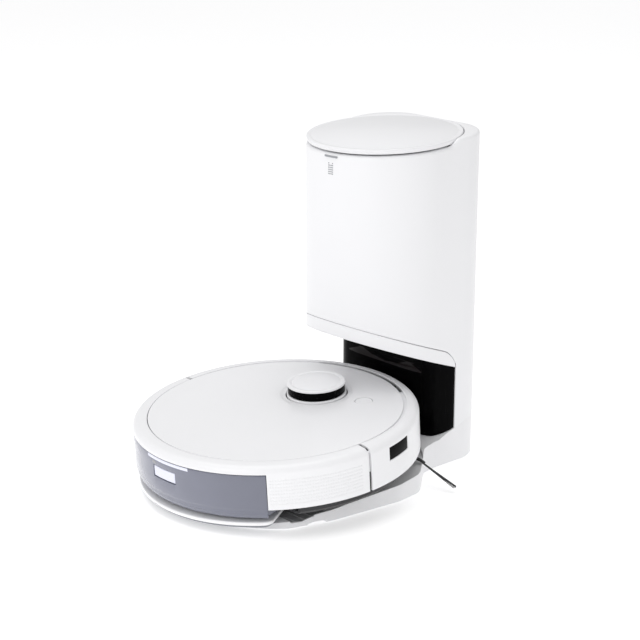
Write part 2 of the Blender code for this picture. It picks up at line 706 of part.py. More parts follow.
def make_station_inside(station):
    low = Vector((-BAG_SIZE[0] / 2, BAG_Y - BAG_SIZE[1] / 2, BAG_Z))
    bag = block("dust_bag", low, low + Vector(BAG_SIZE), 0.016)
    part(bag, station, (0.62, 0.60, 0.56), 0.9)
    collar_y = BAG_Y + BAG_SIZE[1] / 2 + GAP
    collar = block("bag_collar", (-0.052, collar_y, BAG_Z + 0.010),
                   (0.052, collar_y + COLLAR_T, BAG_Z + 0.110), 0.0008)
    combine(collar, rod("cut_collar", (0, collar_y - 0.01, DUCT_TOP_Z + 0.050),
                        (0, collar_y + 0.02, DUCT_TOP_Z + 0.050), 0.0200))
    part(collar, station, (0.52, 0.40, 0.26), 0.9)
    duct = duct_tube("suction_duct", DUCT_R)
    combine(duct, duct_tube("cut_duct", DUCT_R - DUCT_WALL, 0.004))
    part(duct, station, GREY, 0.6)
    z0, z1 = STATION_FAN_Z
    r = STATION_FAN_R
    t = DUCT_WALL
    housing = turned("station_fan_housing", [(0.0140, z1), (r, z1), (r, z0), (0.0060, z0), (0.0060, z0 + t),
                                             (r - t, z0 + t), (r - t, z1 - t), (0.0140, z1 - t)],
                     (0, STATION_FAN_Y, 0), SMALL_STEPS)
    part(housing, station, GREY, 0.6)
    axis = empty("station_impeller_axis", (0, STATION_FAN_Y, z0), station)
    part(impeller("station_impeller", (0, STATION_FAN_Y), (z0 + 0.006, z1 - 0.006), r - 0.004), axis, DARK,
         0.5)


def duct_tube(name, radius, overrun=0.0):
    """From the platform's socket straight up the column, then forward to the bag's collar."""
    collar_back = BAG_Y + BAG_SIZE[1] / 2 + GAP + COLLAR_T + GAP
    turn_z = DUCT_TOP_Z + 0.050
    bend = DUCT_Y - collar_back - 0.001
    route = [Vector((0, DUCT_Y, 0.0130 - overrun)), Vector((0, DUCT_Y, turn_z - bend))]
    count = 6
    for i in range(1, count + 1):
        angle = pi / 2 * i / count
        route.append(Vector((0, DUCT_Y - bend * (1 - cos(angle)), turn_z - bend + bend * sin(angle))))
    route.append(Vector((0, collar_back - overrun, turn_z)))
    curve = bpy.data.curves.new(name, "CURVE")
    curve.dimensions = "3D"
    curve.bevel_depth = radius
    curve.bevel_resolution = 3
    curve.use_fill_caps = True
    spline = curve.splines.new("POLY")
    spline.points.add(len(route) - 1)
    for point, at in zip(spline.points, route):
        point.co = (*at, 1)
    return settle(raw(name, curve))


def impeller(name, centre, z, radius, blades=7):
    """A hub with straight radial blades, joined into one body."""
    wheel = rod(name, (*centre, z[0]), (*centre, z[1]), radius * 0.42, steps=16)
    disc = rod("join_" + name, (*centre, z[0]), (*centre, z[0] + 0.002), radius, steps=16)
    combine(wheel, disc, "UNION")
    for i in range(blades):
        blade = block(f"join_{name}_{i}", (radius * 0.35, -0.0008, z[0] + 0.001),
                      (radius * 0.97, 0.0008, z[1]))
        blade.data.transform(Matrix.Translation((*centre, 0)) @ Matrix.Rotation(2 * pi * i / blades, 4,
                                                                                "Z"))
        combine(wheel, blade, "UNION")
    return wheel


# ------------------------------------------------------------------ robot casing
def skin_profile(inner):
    """Section of the robot's outer skin, from the deck's inner edge over the shoulder to the skirt."""
    r = ROBOT_R
    t = SKIN
    return [(inner, DECK_Z), (r - 0.0090, DECK_Z - 0.0002), (r - 0.0040, DECK_Z - 0.0020),
            (r - 0.0010, DECK_Z - 0.0055), (r, DECK_Z - 0.0100), (r, SKIRT_Z), (r - t, SKIRT_Z),
            (r - t, DECK_Z - 0.0110), (r - 0.0110, DECK_Z - t), (inner, DECK_Z - t)]


def wedge(name, half_angle, middle, radius, z0, z1):
    """A flat slice of a circle, as a solid."""
    reach = radius / cos(half_angle)
    points = [Vector((0, 0))] + [Vector((reach * cos(middle + a), reach * sin(middle + a)))
                                 for a in (-half_angle, 0.0, half_angle)]
    return plate(name, points, z0, z1)


def make_shells(robot):
    rear = turned("rear_shell", skin_profile(COVER_R + SEAM))
    front_cut = BUMPER_END_Y - BUMPER_GAP
    combine(rear, block("cut_bumper_space", (-0.2, front_cut, 0.0), (0.2, 0.2, 0.1)))
    combine(rear, wedge("cut_tank_space", TANK_HALF_ANGLE, -pi / 2, 0.190, 0.0, TANK_TOP + SEAM))
    ledge_top = DECK_Z - COVER_T - GAP
    step = COVER_R + SEAM + GAP
    ledge = turned("join_ledge", [(step + 0.0030, DECK_Z - SKIN / 2), (step + 0.0030, ledge_top - 0.003),
                                  (COVER_R - 0.009, ledge_top - 0.003), (COVER_R - 0.009, ledge_top),
                                  (step, ledge_top), (step, DECK_Z - SKIN / 2)])
    combine(ledge, block("cut_ledge_front", (-0.2, 0.1390, 0.0), (0.2, 0.2, 0.1)))
    ring = turned("keep_ledge", [(COVER_R - 0.0005, 0.1), (COVER_R - 0.0005, 0.0), (COVER_R - 0.012, 0.0),
                                 (COVER_R - 0.012, 0.1)])
    tail = block("join_ring_tail", (-0.2, -0.2, 0.0), (0.2, front_cut, 0.1))
    combine(ring, tail, "UNION")
    combine(ledge, ring, "INTERSECT")
    combine(rear, ledge, "UNION")
    part(rear, robot, WHITE, 0.3)

    travel = empty("bumper_axis", (0, ROBOT_R, DECK_Z / 2), robot)
    bumper = turned("front_bumper", skin_profile(COVER_R))
    combine(bumper, block("cut_bumper_rear", (-0.2, -0.2, 0.0), (0.2, BUMPER_END_Y, 0.1)))
    combine(bumper, rod("cut_bumper_lip", (0, BUMPER_LIP_SHIFT, 0), (0, BUMPER_LIP_SHIFT, 0.1),
                        COVER_R + SEAM, steps=STEPS))
    for name, middle, half, z in sensor_windows():
        combine(bumper, shell_patch("cut_" + name, middle, half + GAP / ROBOT_R, z[0] - GAP, z[1] + GAP,
                                    ROBOT_R - WINDOW_T - GAP, ROBOT_R + 0.004))
    part(bumper, travel, WHITE, 0.3)
    for name, middle, half, z in sensor_windows():
        part(shell_patch(name, middle, half, z[0], z[1], ROBOT_R - WINDOW_T, ROBOT_R - 0.0002), travel,
             BLACK, 0.1)


def sensor_windows():
    side_middle = (WINDOW_SIDE_FROM + WINDOW_SIDE_TO) / 2
    side_half = (WINDOW_SIDE_TO - WINDOW_SIDE_FROM) / 2
    return [("side_sensor_window", side_middle, side_half, WINDOW_SIDE_Z),
            ("front_sensor_window", pi / 2, WINDOW_FRONT_HALF, WINDOW_FRONT_Z)]


def shell_patch(name, middle, half, z0, z1, inner, outer, count=8):
    """A curved panel on the robot's round side."""
    outline = arc((0, 0), outer, middle - half, middle + half, count)
    outline += arc((0, 0), inner, middle + half, middle - half, count)
    return plate(name, outline, z0, z1)


def make_cover(robot):
    axis = empty("cover_axis", (0, COVER_HINGE_Y, COVER_HINGE_Z), robot)
    under = DECK_Z - COVER_T
    dish = 0.0010
    cover = turned("top_cover", [(0, DECK_Z), (COVER_R - 0.0010, DECK_Z), (COVER_R, DECK_Z - 0.0010),
                                 (COVER_R, under), (0, under)])
    combine(cover, rod("cut_cover_dish", (0, LDS_Y, DECK_Z - dish), (0, LDS_Y, DECK_Z + 0.01), 0.0470,
                       steps=STEPS))
    for sign in (-1, 1):
        x = sign * 0.032
        lug = block(f"join_cover_lug_{sign}", (x - 0.004, COVER_HINGE_Y - 0.003, COVER_HINGE_Z - 0.0028),
                    (x + 0.004, COVER_HINGE_Y + 0.003, under + 0.001))
        combine(cover, lug, "UNION")
    combine(cover, rod("cut_cover_turret", (0, LDS_Y, 0), (0, LDS_Y, 0.1), LDS_R + 0.0015,
                       steps=TURRET_STEPS))
    combine(cover, rod("cut_cover_button", (BUTTON_X, BUTTON_Y, 0), (BUTTON_X, BUTTON_Y, 0.1),
                       BUTTON_R + SLIP))
    combine(cover, rod("cut_cover_pin", (-0.060, COVER_HINGE_Y, COVER_HINGE_Z),
                       (0.060, COVER_HINGE_Y, COVER_HINGE_Z),
                       COVER_PIN_R + GAP, steps=16))
    part(cover, axis, WHITE, 0.25)
    pin = rod("cover_hinge_pin", (-COVER_PIN_HALF, COVER_HINGE_Y, COVER_HINGE_Z),
              (COVER_PIN_HALF, COVER_HINGE_Y, COVER_HINGE_Z), COVER_PIN_R, steps=16)
    part(pin, robot, (0.6, 0.6, 0.62), 0.3, 1.0)


def make_turret(robot):
    r = LDS_R
    centre = (0, LDS_Y, 0)
    housing = turned("lds_housing", [(0, LDS_FLOOR_Z + 0.0025), (r - 0.0030, LDS_FLOOR_Z + 0.0025),
                                     (r - 0.0030, LDS_RIM_Z), (r - 0.0008, LDS_RIM_Z), (r,
                                                                                        LDS_RIM_Z - 0.0008),
                                     (r, LDS_FLOOR_Z), (0, LDS_FLOOR_Z)][::-1], centre, TURRET_STEPS)
    part(housing, robot, WHITE, 0.3)
    travel = empty("turret_axis", (0, LDS_Y, LDS_RIM_Z), robot)
    cap_low = LDS_TOP_Z - LDS_CAP_T
    window_low = LDS_RIM_Z + LDS_TRAVEL + 0.0004
    w = LDS_WINDOW_R
    window = turned("lds_window", [(w, cap_low - GAP), (w, window_low), (w - 0.0022, window_low),
                                   (w - 0.0022, cap_low - GAP)], centre, TURRET_STEPS)
    part(window, travel, BLACK, 0.08)
    c = LDS_CAP_R
    cap = turned("lds_cap", [(0, LDS_TOP_Z), (c - 0.0010, LDS_TOP_Z), (c, LDS_TOP_Z - 0.0010),
                             (c, cap_low), (0, cap_low)], centre, TURRET_STEPS)
    part(cap, travel, WHITE, 0.25)
    spin = empty("rotor_axis", (0, LDS_Y, LDS_FLOOR_Z), robot)
    rotor_top = cap_low - LDS_TRAVEL - SLIP
    rotor = rod("lds_rotor", (0, LDS_Y, LDS_FLOOR_Z + 0.006), (0, LDS_Y, rotor_top), ROTOR_R, steps=24)
    combine(rotor, block("cut_rotor_face", (-0.03, LDS_Y - ROTOR_R - 0.01, 0.082),
                         (0.03, LDS_Y - 0.016, 0.1)))
    part(rotor, spin, DARK, 0.4)
    press = empty("button_axis", (BUTTON_X, BUTTON_Y, DECK_Z), robot)
    low = DECK_Z - 0.0060
    button = turned("power_button", [(0, DECK_Z - 0.0002), (BUTTON_R - 0.0006, DECK_Z - 0.0002),
                                     (BUTTON_R, DECK_Z - 0.0008), (BUTTON_R, low), (0, low)],
                    (BUTTON_X, BUTTON_Y, 0), SMALL_STEPS)
    part(button, press, WHITE, 0.25)


# ------------------------------------------------------------------ robot chassis and what it holds
def make_chassis(robot):
    top = FLOOR_Z + FLOOR_T
    r = CHASSIS_R
    chassis = turned("chassis", [(0, top), (r - 0.0035, top), (r - 0.0035, CHASSIS_WALL_TOP),
                                 (r, CHASSIS_WALL_TOP), (r, FLOOR_Z + 0.004), (r - 0.004, FLOOR_Z),
                                 (0, FLOOR_Z)][::-1])
    combine(chassis, block("cut_tank_bay", (-0.2, -0.2, 0.0), (0.2, -0.0880, 0.1)))
    half = WHEEL_W / 2 + 0.0040
    for side_name, sign in (("left", -1), ("right", 1)):
        x = sign * WHEEL_X
        inner = -0.014 if sign > 0 else 0.0
        combine(chassis, block(f"cut_wheel_well_{side_name}", (x - half + inner, -WHEEL_R - 0.005, 0.0),
                               (x + half + inner + 0.014, WHEEL_R + 0.020, 0.040)))
        combine(chassis, rod(f"cut_side_brush_{side_name}", (sign * SIDE_BRUSH_X, SIDE_BRUSH_Y, 0),
                             (sign * SIDE_BRUSH_X, SIDE_BRUSH_Y, 0.03), 0.0050 + SLIP, steps=16))
        contact = (sign * CONTACT_X, CONTACT_Y)
        combine(chassis, block(f"cut_contact_{side_name}",
                               (contact[0] - CONTACT_SIZE[0] / 2 - GAP,
                                contact[1] - CONTACT_SIZE[1] / 2 - GAP, 0.0),
                               (contact[0] + CONTACT_SIZE[0] / 2 + GAP,
                                contact[1] + CONTACT_SIZE[1] / 2 + GAP,
                                FLOOR_Z + CONTACT_SIZE[2] + GAP)))
        plate_low = (contact[0] - CONTACT_SIZE[0] / 2, contact[1] - CONTACT_SIZE[1] / 2, FLOOR_Z)
        strip = block(f"charge_plate_{side_name}", plate_low, Vector(plate_low) + Vector(CONTACT_SIZE))
        part(strip, robot, (0.75, 0.74, 0.70), 0.3, 1.0)
    combine(chassis, block("cut_brush_mouth", (-BRUSH_HALF - 0.0080, BRUSH_Y - 0.0180, 0.0),
                           (BRUSH_HALF + 0.0080, BRUSH_Y + 0.0180, 0.03)))
    combine(chassis, rod("cut_caster_well", (0, CASTER_Y, 0), (0, CASTER_Y, 0.03), CASTER_FORK_R + 0.0015))
    part(chassis, robot, DARK, 0.6)


def make_wheels(robot):
    z = WHEEL_R
    for side_name, sign in (("left", -1), ("right", 1)):
        pivot = empty(f"wheel_arm_{side_name}_axis", (sign * (WHEEL_X - WHEEL_W), ARM_PIVOT_Y, z), robot)
        axle = empty(f"wheel_{side_name}_axis", (sign * WHEEL_X - pivot.location.x, -ARM_PIVOT_Y, 0), pivot)
        inner = sign * (WHEEL_X - WHEEL_W / 2 - SLIP)
        outer = inner - sign * ARM_T
        arm = block(f"wheel_arm_{side_name}", (min(inner, outer), -0.013, z - 0.011),
                    (max(inner, outer), ARM_PIVOT_Y + 0.007, z + 0.011), 0.002)
        stub = rod(f"join_axle_{side_name}", (inner - sign * 0.004, 0, z), (sign * WHEEL_X, 0, z), AXLE_R,
                   steps=16)
        combine(arm, stub, "UNION")
        part(arm, pivot, DARK, 0.6)
        w = WHEEL_W / 2
        hub_r = WHEEL_R - TYRE_T
        hub = rod(f"wheel_hub_{side_name}", (sign * WHEEL_X - w + 0.001, 0, z),
                  (sign * WHEEL_X + w - 0.001, 0, z),
                  hub_r - GAP)
        combine(hub, rod(f"cut_hub_{side_name}", (inner - sign * 0.01, 0, z),
                         (sign * (WHEEL_X + 0.0008), 0, z),
                         AXLE_R + GAP, steps=16))
        part(hub, axle, GREY, 0.5)
        tyre = turned(f"tyre_{side_name}", [(hub_r, w), (WHEEL_R - 0.002, w), (WHEEL_R, w - 0.003),
                                            (WHEEL_R, 0.003 - w), (WHEEL_R - 0.002, -w), (hub_r, -w)][::-1],
                      (sign * WHEEL_X, 0, z), SMALL_STEPS, "X")
        part(tyre, axle, DARK, 0.8)


def make_caster(robot):
    swivel = empty("caster_axis", (0, CASTER_Y, FLOOR_Z), robot)
    wheel_y = CASTER_Y - CASTER_TRAIL
    roll = empty("caster_wheel_axis", (0, -CASTER_TRAIL, CASTER_R - FLOOR_Z), swivel)
    fork = rod("caster_fork", (0, CASTER_Y, FLOOR_Z + 0.0015), (0, CASTER_Y, FLOOR_Z + 0.0130),
               CASTER_FORK_R)
    for sign in (-1, 1):
        low = CASTER_W / 2 + SLIP
        x0, x1 = sorted((sign * low, sign * (low + 0.0035)))
        combine(fork, block(f"join_fork_leg_{sign}", (x0, wheel_y - 0.004, CASTER_R - 0.0035),
                            (x1, wheel_y + 0.004, FLOOR_Z + 0.004)), "UNION")
    room = CASTER_R + 0.0008
    combine(fork, block("cut_fork_wheel", (-CASTER_W / 2 - SLIP, wheel_y - room, 0),
                        (CASTER_W / 2 + SLIP, wheel_y + room, CASTER_R + CASTER_R + 0.0008)))
    combine(fork, rod("cut_fork_axle", (-0.011, wheel_y, CASTER_R), (0.011, wheel_y, CASTER_R),
                      0.0015 + GAP, steps=16))
    part(fork, swivel, DARK, 0.5)
    w = CASTER_W / 2
    wheel = turned("caster_wheel", [(0, w + 0.003), (0.0015, w + 0.003), (0.0015, w), (CASTER_R - 0.003, w),
                                    (CASTER_R, w - 0.003), (CASTER_R, 0.003 - w), (CASTER_R - 0.003, -w),
                                    (0.0015, -w), (0.0015, -w - 0.003), (0, -w - 0.003)][::-1],
                   (0, wheel_y, CASTER_R), 20, "X")
    part(wheel, roll, GREY, 0.6)


def make_brushes(robot):
    spin = empty("main_brush_axis", (0, BRUSH_Y, BRUSH_Z), robot)
    brush = rod("main_brush", (-BRUSH_HALF, BRUSH_Y, BRUSH_Z), (BRUSH_HALF, BRUSH_Y, BRUSH_Z),
                BRUSH_R - 0.006, steps=20)
    for i in range(6):
        fin = block(f"join_fin_{i}", (-BRUSH_HALF + 0.002, -0.0011, 0.005),
                    (BRUSH_HALF - 0.002, 0.0011, BRUSH_R))
        fin.data.transform(Matrix.Translation((0, BRUSH_Y, BRUSH_Z)) @ Matrix.Rotation(2 * pi * i / 6, 4,
                                                                                       "X"))
        combine(brush, fin, "UNION")
    combine(brush, rod("join_brush_axle", (-BRUSH_HALF - 0.005, BRUSH_Y, BRUSH_Z),
                       (BRUSH_HALF + 0.005, BRUSH_Y, BRUSH_Z), 0.003, steps=12), "UNION")
    part(brush, spin, (0.10, 0.20, 0.30), 0.6)
    guard_top = FLOOR_Z - 0.0003
    guard_low = guard_top - 0.0030
    guard = block("brush_guard", (-BRUSH_HALF - 0.0115, BRUSH_Y - 0.0200, guard_low),
                  (BRUSH_HALF + 0.0115, BRUSH_Y + 0.0200, guard_top), 0.0010)
    for sign in (-1, 1):
        x0, x1 = sorted((sign * (BRUSH_HALF + 0.0010), sign * (BRUSH_HALF + 0.0070)))
        combine(guard, block(f"join_bearing_{sign}", (x0, BRUSH_Y - 0.007, guard_top - 0.001),
                             (x1, BRUSH_Y + 0.007, BRUSH_Z + 0.007)), "UNION")
    combine(guard, block("cut_guard_slot", (-BRUSH_HALF - 0.0008, BRUSH_Y - 0.0160, 0.0),
                         (BRUSH_HALF + 0.0008, BRUSH_Y + 0.0160, 0.04)))
    combine(guard, rod("cut_guard_bore", (-0.1, BRUSH_Y, BRUSH_Z), (0.1, BRUSH_Y, BRUSH_Z), 0.003 + SLIP,
                       steps=12))
    part(guard, robot, GREY, 0.6)
    for side_name, sign in (("left", -1), ("right", 1)):
        make_side_brush(robot, side_name, sign)


def make_side_brush(robot, side_name, sign):
    """Rubber arms on a hub under the chassis, and a star of bristle tufts that starts at their ends."""
    x, y, z = sign * SIDE_BRUSH_X, SIDE_BRUSH_Y, SIDE_BRUSH_Z
    spin = empty(f"side_brush_{side_name}_axis", (x, y, z), robot)
    hub = rod(f"side_brush_{side_name}", (x, y, z - 0.0015), (x, y, FLOOR_Z - 0.0012), 0.0100, steps=24)
    combine(hub, rod(f"join_side_shaft_{side_name}", (x, y, z), (x, y, FLOOR_Z + FLOOR_T + 0.006), 0.0050,
                     steps=16),
            "UNION")
    tufts = rod(f"side_bristles_{side_name}", (x, y, z - 0.0034), (x, y, z - 0.0015 - GAP), 0.0080,
                steps=16)
    for i in range(SIDE_BRUSH_ARMS):
        turn = SIDE_BRUSH_TURN + 2 * pi * i / SIDE_BRUSH_ARMS
        turn = turn if sign > 0 else pi - turn
        place = Matrix.Translation((x, y, 0)) @ Matrix.Rotation(turn, 4, "Z")
        arm = block(f"join_side_arm_{side_name}_{i}", (0.0, -0.0032, z - 0.0010),
                    (SIDE_BRUSH_ARM, 0.0032, z + 0.0022))
        arm.data.transform(place)
        combine(hub, arm, "UNION")
        root_z = z - 0.0028
        bend = SIDE_BRUSH_BEND if i == 0 else SIDE_BRUSH_LEN
        tuft = rod(f"join_tuft_{side_name}_{i}", (0.004, 0, root_z), (bend, 0, root_z - 0.0005), 0.0007,
                   0.0014, steps=8)
        tuft.data.transform(place)
        combine(tufts, tuft, "UNION")
        if i == 0:
            tip = rod(f"join_tip_{side_name}", (bend - 0.003, 0, root_z - 0.0002),
                      (SIDE_BRUSH_FREE_LEN, 0, root_z - SIDE_BRUSH_DROOP), 0.0009, 0.0018, steps=10)
            tip.data.transform(place)
            combine(tufts, tip, "UNION")
    part(hub, spin, BLACK, 0.5)
    part(tufts, spin, DARK, 0.8)


def make_tank(robot):
    slide = empty("tank_axis", (0, TANK_FRONT_Y, TANK_BOTTOM), robot)
    tank = plate("water_tank", tank_outline(0.0), TANK_BOTTOM, TANK_TOP)
    cavity = plate("cut_tank_cavity", tank_outline(TANK_WALL), TANK_BOTTOM + TANK_WALL,
                   TANK_TOP - TANK_WALL)
    pocket_front = -ROBOT_R + RELEASE_DEPTH + RELEASE_TRAVEL + SLIP
    combine(cavity, block("keep_pocket_wall", (-RELEASE_HALF - 0.003, -0.2, RELEASE_Z[0] - 0.003),
                          (RELEASE_HALF + 0.003, pocket_front + TANK_WALL, RELEASE_Z[1] + 0.003)))
    combine(tank, cavity)
    combine(tank, block("cut_release_pocket", (-RELEASE_HALF - SLIP, -0.2, RELEASE_Z[0] - SLIP),
                        (RELEASE_HALF + SLIP, pocket_front, RELEASE_Z[1] + SLIP)))
    out = Vector((cos(FILLER_ANGLE), sin(FILLER_ANGLE), 0))
    up = Vector((0, 0, FILLER_Z))
    combine(tank, rod("cut_filler", up + out * (ROBOT_R - 0.008), up + out * (ROBOT_R + 0.005),
                      FILLER_R + GAP))
    part(tank, slide, (0.42, 0.43, 0.52), 0.15)
    pull = empty("filler_plug_axis", up + out * ROBOT_R - slide.location, slide)
    plug = rod("filler_plug", up + out * (ROBOT_R - 0.0060), up + out * (ROBOT_R - 0.0008), FILLER_R)
    part(plug, pull, (0.55, 0.56, 0.62), 0.6)
    press = empty("tank_release_axis", Vector((0, -ROBOT_R, sum(RELEASE_Z) / 2)) - slide.location, slide)
    release = block("tank_release", (-RELEASE_HALF, -0.2, RELEASE_Z[0]),
                    (RELEASE_HALF, -ROBOT_R + RELEASE_DEPTH, RELEASE_Z[1]))
    combine(release, rod("keep_release", (0, 0, 0), (0, 0, 0.1), ROBOT_R - 0.0004, steps=STEPS * 2),
            "INTERSECT")
    part(release, press, (0.80, 0.81, 0.92), 0.3)

    draw = empty("mop_axis", Vector((0, MOP_FRONT_Y, MOP_Z[0])) - slide.location, slide)
    part(plate("mop_plate", mop_outline(0.0), *MOP_Z), draw, (0.75, 0.76, 0.78), 0.2)
    part(plate("mop_pad", mop_outline(0.0030), *MOP_PAD_Z), draw, (0.35, 0.36, 0.38), 0.95)


def tank_outline(inset):
    """Round at the tail, straight at the front, and narrowing forward between the side panels."""
    half_angle = TANK_HALF_ANGLE - SEAM / ROBOT_R - inset / ROBOT_R
    half = arc((0, 0), ROBOT_R - 0.0002 - inset, -pi / 2, -pi / 2 + half_angle, 12)
    half[0] = Vector((0, -ROBOT_R + 0.0002 + inset))
    behind_skin = ROBOT_R - SKIN - 2 * SEAM - inset
    half.append(Vector((behind_skin * sin(half_angle), -behind_skin * cos(half_angle))))
    half += [Vector((TANK_FRONT_HALF - inset, TANK_FRONT_Y - inset)), Vector((0, TANK_FRONT_Y - inset))]
    return mirrored(half)


def mop_outline(inset):
    r = MOP_R - inset
    end = -pi / 2 + MOP_HALF_ANGLE
    corner = Vector((r * cos(end), MOP_CENTRE_Y + r * sin(end)))
    tail = arc((0, MOP_CENTRE_Y), r, -pi / 2, end - MOP_CORNER / r, 10)
    tail[0] = Vector((0, MOP_CENTRE_Y - r))
    front = [Vector((MOP_FRONT_HALF - inset, MOP_FRONT_Y - inset)), Vector((0, MOP_FRONT_Y - inset))]
    bend = rounded([tail[-1], corner, front[0], front[1]], [0, MOP_CORNER * 0.6, 0.008, 0])
    return mirrored(tail[:-1] + bend)


def make_inside(robot):
    low = Vector(BIN_CORNER)
    high = low + Vector(BIN_SIZE)
    wall = Vector((BIN_WALL, BIN_WALL, BIN_WALL))
    bin_part = block("dust_bin", low, high, 0.003)
    combine(bin_part, block("cut_bin", low + wall, (high.x - BIN_WALL, high.y - BIN_WALL, high.z + 0.01)))
    combine(bin_part, block("cut_bin_mouth", (low.x + 0.030, high.y - 0.01, low.z + 0.006),
                            (low.x + 0.090, high.y + 0.01, low.z + 0.022)))
    part(bin_part, robot, (0.30, 0.31, 0.33), 0.3)
    filter_low = Vector((low.x + 0.006, low.y + BIN_WALL + GAP, low.z + BIN_WALL + GAP))
    filter_part = block("dust_filter", filter_low, (high.x - 0.006, filter_low.y + FILTER_T,
                                                    high.z - 0.001), 0.001)
    part(filter_part, robot, (0.80, 0.80, 0.78), 0.9)
    battery_low = Vector((-BATTERY_SIZE[0] / 2, BATTERY_FRONT_Y - BATTERY_SIZE[1], FLOOR_Z + FLOOR_T + GAP))
    part(block("battery", battery_low, battery_low + Vector(BATTERY_SIZE), 0.002), robot,
         (0.08, 0.14, 0.30), 0.5)
    x, y = FAN_XY
    z0, z1 = FAN_Z
    r = FAN_R
    housing = turned("fan_housing", [(0.009, z1), (r, z1), (r, z0), (0.004, z0), (0.004, z0 + 0.0016),
                                     (r - 0.0016, z0 + 0.0016), (r - 0.0016, z1 - 0.0016),
                                     (0.009, z1 - 0.0016)], (x, y, 0), SMALL_STEPS)
    part(housing, robot, GREY, 0.6)
    axis = empty("fan_axis", (x, y, z0), robot)
    part(impeller("fan_impeller", FAN_XY, (z0 + 0.005, z1 - 0.005), r - 0.0034), axis, DARK, 0.5)
    board = plate("main_board", rounded([(-0.070, 0.080), (0.070, 0.080), (0.060, 0.135), (-0.060, 0.135)],
                                        [0.004, 0.004, 0.004, 0.004], 2), BOARD_Z, BOARD_Z + BOARD_T)
    part(board, robot, (0.02, 0.16, 0.08), 0.5)


def centre_on_origin(root):
    """Moves the whole object so that the middle of its footprint is on the origin."""
    bpy.context.view_layer.update()
    graph = bpy.context.evaluated_depsgraph_get()
    lows, highs = [], []
    for obj in collection(PARTS).objects:
        if obj.type != "MESH":
            continue
        shape = obj.evaluated_get(graph)
        points = [shape.matrix_world @ v.co for v in shape.data.vertices]
        lows.append([min(p[i] for p in points) for i in range(3)])
        highs.append([max(p[i] for p in points) for i in range(3)])
    low = [min(v[i] for v in lows) for i in range(3)]
    high = [max(v[i] for v in highs) for i in range(3)]
    root.location = (-(low[0] + high[0]) / 2, -(low[1] + high[1]) / 2, -low[2])
    print("moved to origin by", tuple(round(v, 6) for v in root.location))


def main():
    clear_scene()
    root = empty("object")
    station = empty("station_frame", parent=root)
    robot = empty("robot_frame", (0, 0, ROBOT_RAISE), root)
    make_platform(station)
    make_station_trim(station)
    make_tower(station)
    make_lid(station)
    make_column(station)
    make_station_inside(station)
    make_chassis(robot)
    make_shells(robot)
    make_cover(robot)
    make_turret(robot)
    make_wheels(robot)
    make_caster(robot)
    make_brushes(robot)
    make_tank(robot)
    make_inside(robot)
    robot.rotation_euler = (ROBOT_TILT, 0, 0)
    centre_on_origin(root)


main()
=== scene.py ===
"""Looks of the docked robot vacuum and its self-emptying station."""

import json
from math import asin, atan2, cos, degrees, hypot, pi, radians, sin, sqrt, tan

import bmesh
import bpy
from mathutils import Matrix, Vector, noise


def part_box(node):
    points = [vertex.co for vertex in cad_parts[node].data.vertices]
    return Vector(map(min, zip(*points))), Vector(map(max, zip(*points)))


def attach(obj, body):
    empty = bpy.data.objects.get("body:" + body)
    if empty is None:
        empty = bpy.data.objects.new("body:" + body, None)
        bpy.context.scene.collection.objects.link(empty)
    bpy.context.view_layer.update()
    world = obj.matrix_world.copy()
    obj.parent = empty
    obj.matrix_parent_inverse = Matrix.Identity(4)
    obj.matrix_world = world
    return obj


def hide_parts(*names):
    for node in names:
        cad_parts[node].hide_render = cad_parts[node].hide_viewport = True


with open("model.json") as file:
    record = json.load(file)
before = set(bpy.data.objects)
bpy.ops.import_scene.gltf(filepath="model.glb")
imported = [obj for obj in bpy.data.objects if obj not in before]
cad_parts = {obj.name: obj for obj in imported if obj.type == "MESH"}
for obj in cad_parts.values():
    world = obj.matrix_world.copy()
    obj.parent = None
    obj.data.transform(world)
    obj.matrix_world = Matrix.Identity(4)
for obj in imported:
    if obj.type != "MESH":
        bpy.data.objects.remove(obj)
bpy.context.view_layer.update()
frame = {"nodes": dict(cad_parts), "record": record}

# ------------------------------------------------------------------ the frame's own lines
TILT = radians(4.0)
RAISE = 0.0195
TOWER_BACK_Y = 0.2757
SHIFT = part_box("tower_housing")[1].y - TOWER_BACK_Y     # the station's y = 0 is under the robot's centre
STILL = Matrix.Identity(4)
STATION = Matrix.Translation((0, SHIFT, 0))
ROBOT = Matrix.Translation((0, SHIFT, RAISE)) @ Matrix.Rotation(TILT, 4, "X")

R = 0.176
DECK_Z = 0.080
SKIRT_Z = 0.0260
COVER_R = 0.157
SEAM = 0.0008
BUMPER_END_Y = -0.006
BUMPER_GAP = 0.004
LIP_SHIFT = 0.0047        # the bumper's lip stands off the deck by this much more at the nose
GUTTER_Z = 0.0764         # a light ledge under the seam, clear of the bumper's lip
GUTTER_REACH = radians(62.0)
TANK_HALF = radians(45.5)
TANK_TOP = 0.0693
TANK_BOTTOM = 0.0130
LDS_Y = 0.068
LDS_R = 0.0375
LDS_RIM_Z = 0.0813
LDS_TOP_Z = 0.0955
BUTTON = (0.0655, 0.0870)
BUTTON_R = 0.0107
WINDOW_ANGLES = (radians(8.2), radians(21.5))
WINDOW_Z = (0.0530, 0.0700)
FRONT_WINDOW_HALF = radians(12.5)
FRONT_WINDOW_Z = (0.0340, 0.0660)
SIDE_BRUSH = (0.098, 0.122, 0.0048)
ARM_REACH = 0.0300
TUFT_LEN = 0.0590
FREE_TUFT_LEN = 0.0770    # the tuft that hangs past the platform
FREE_TUFT_DROOP = 0.0215
HAIRS = 22

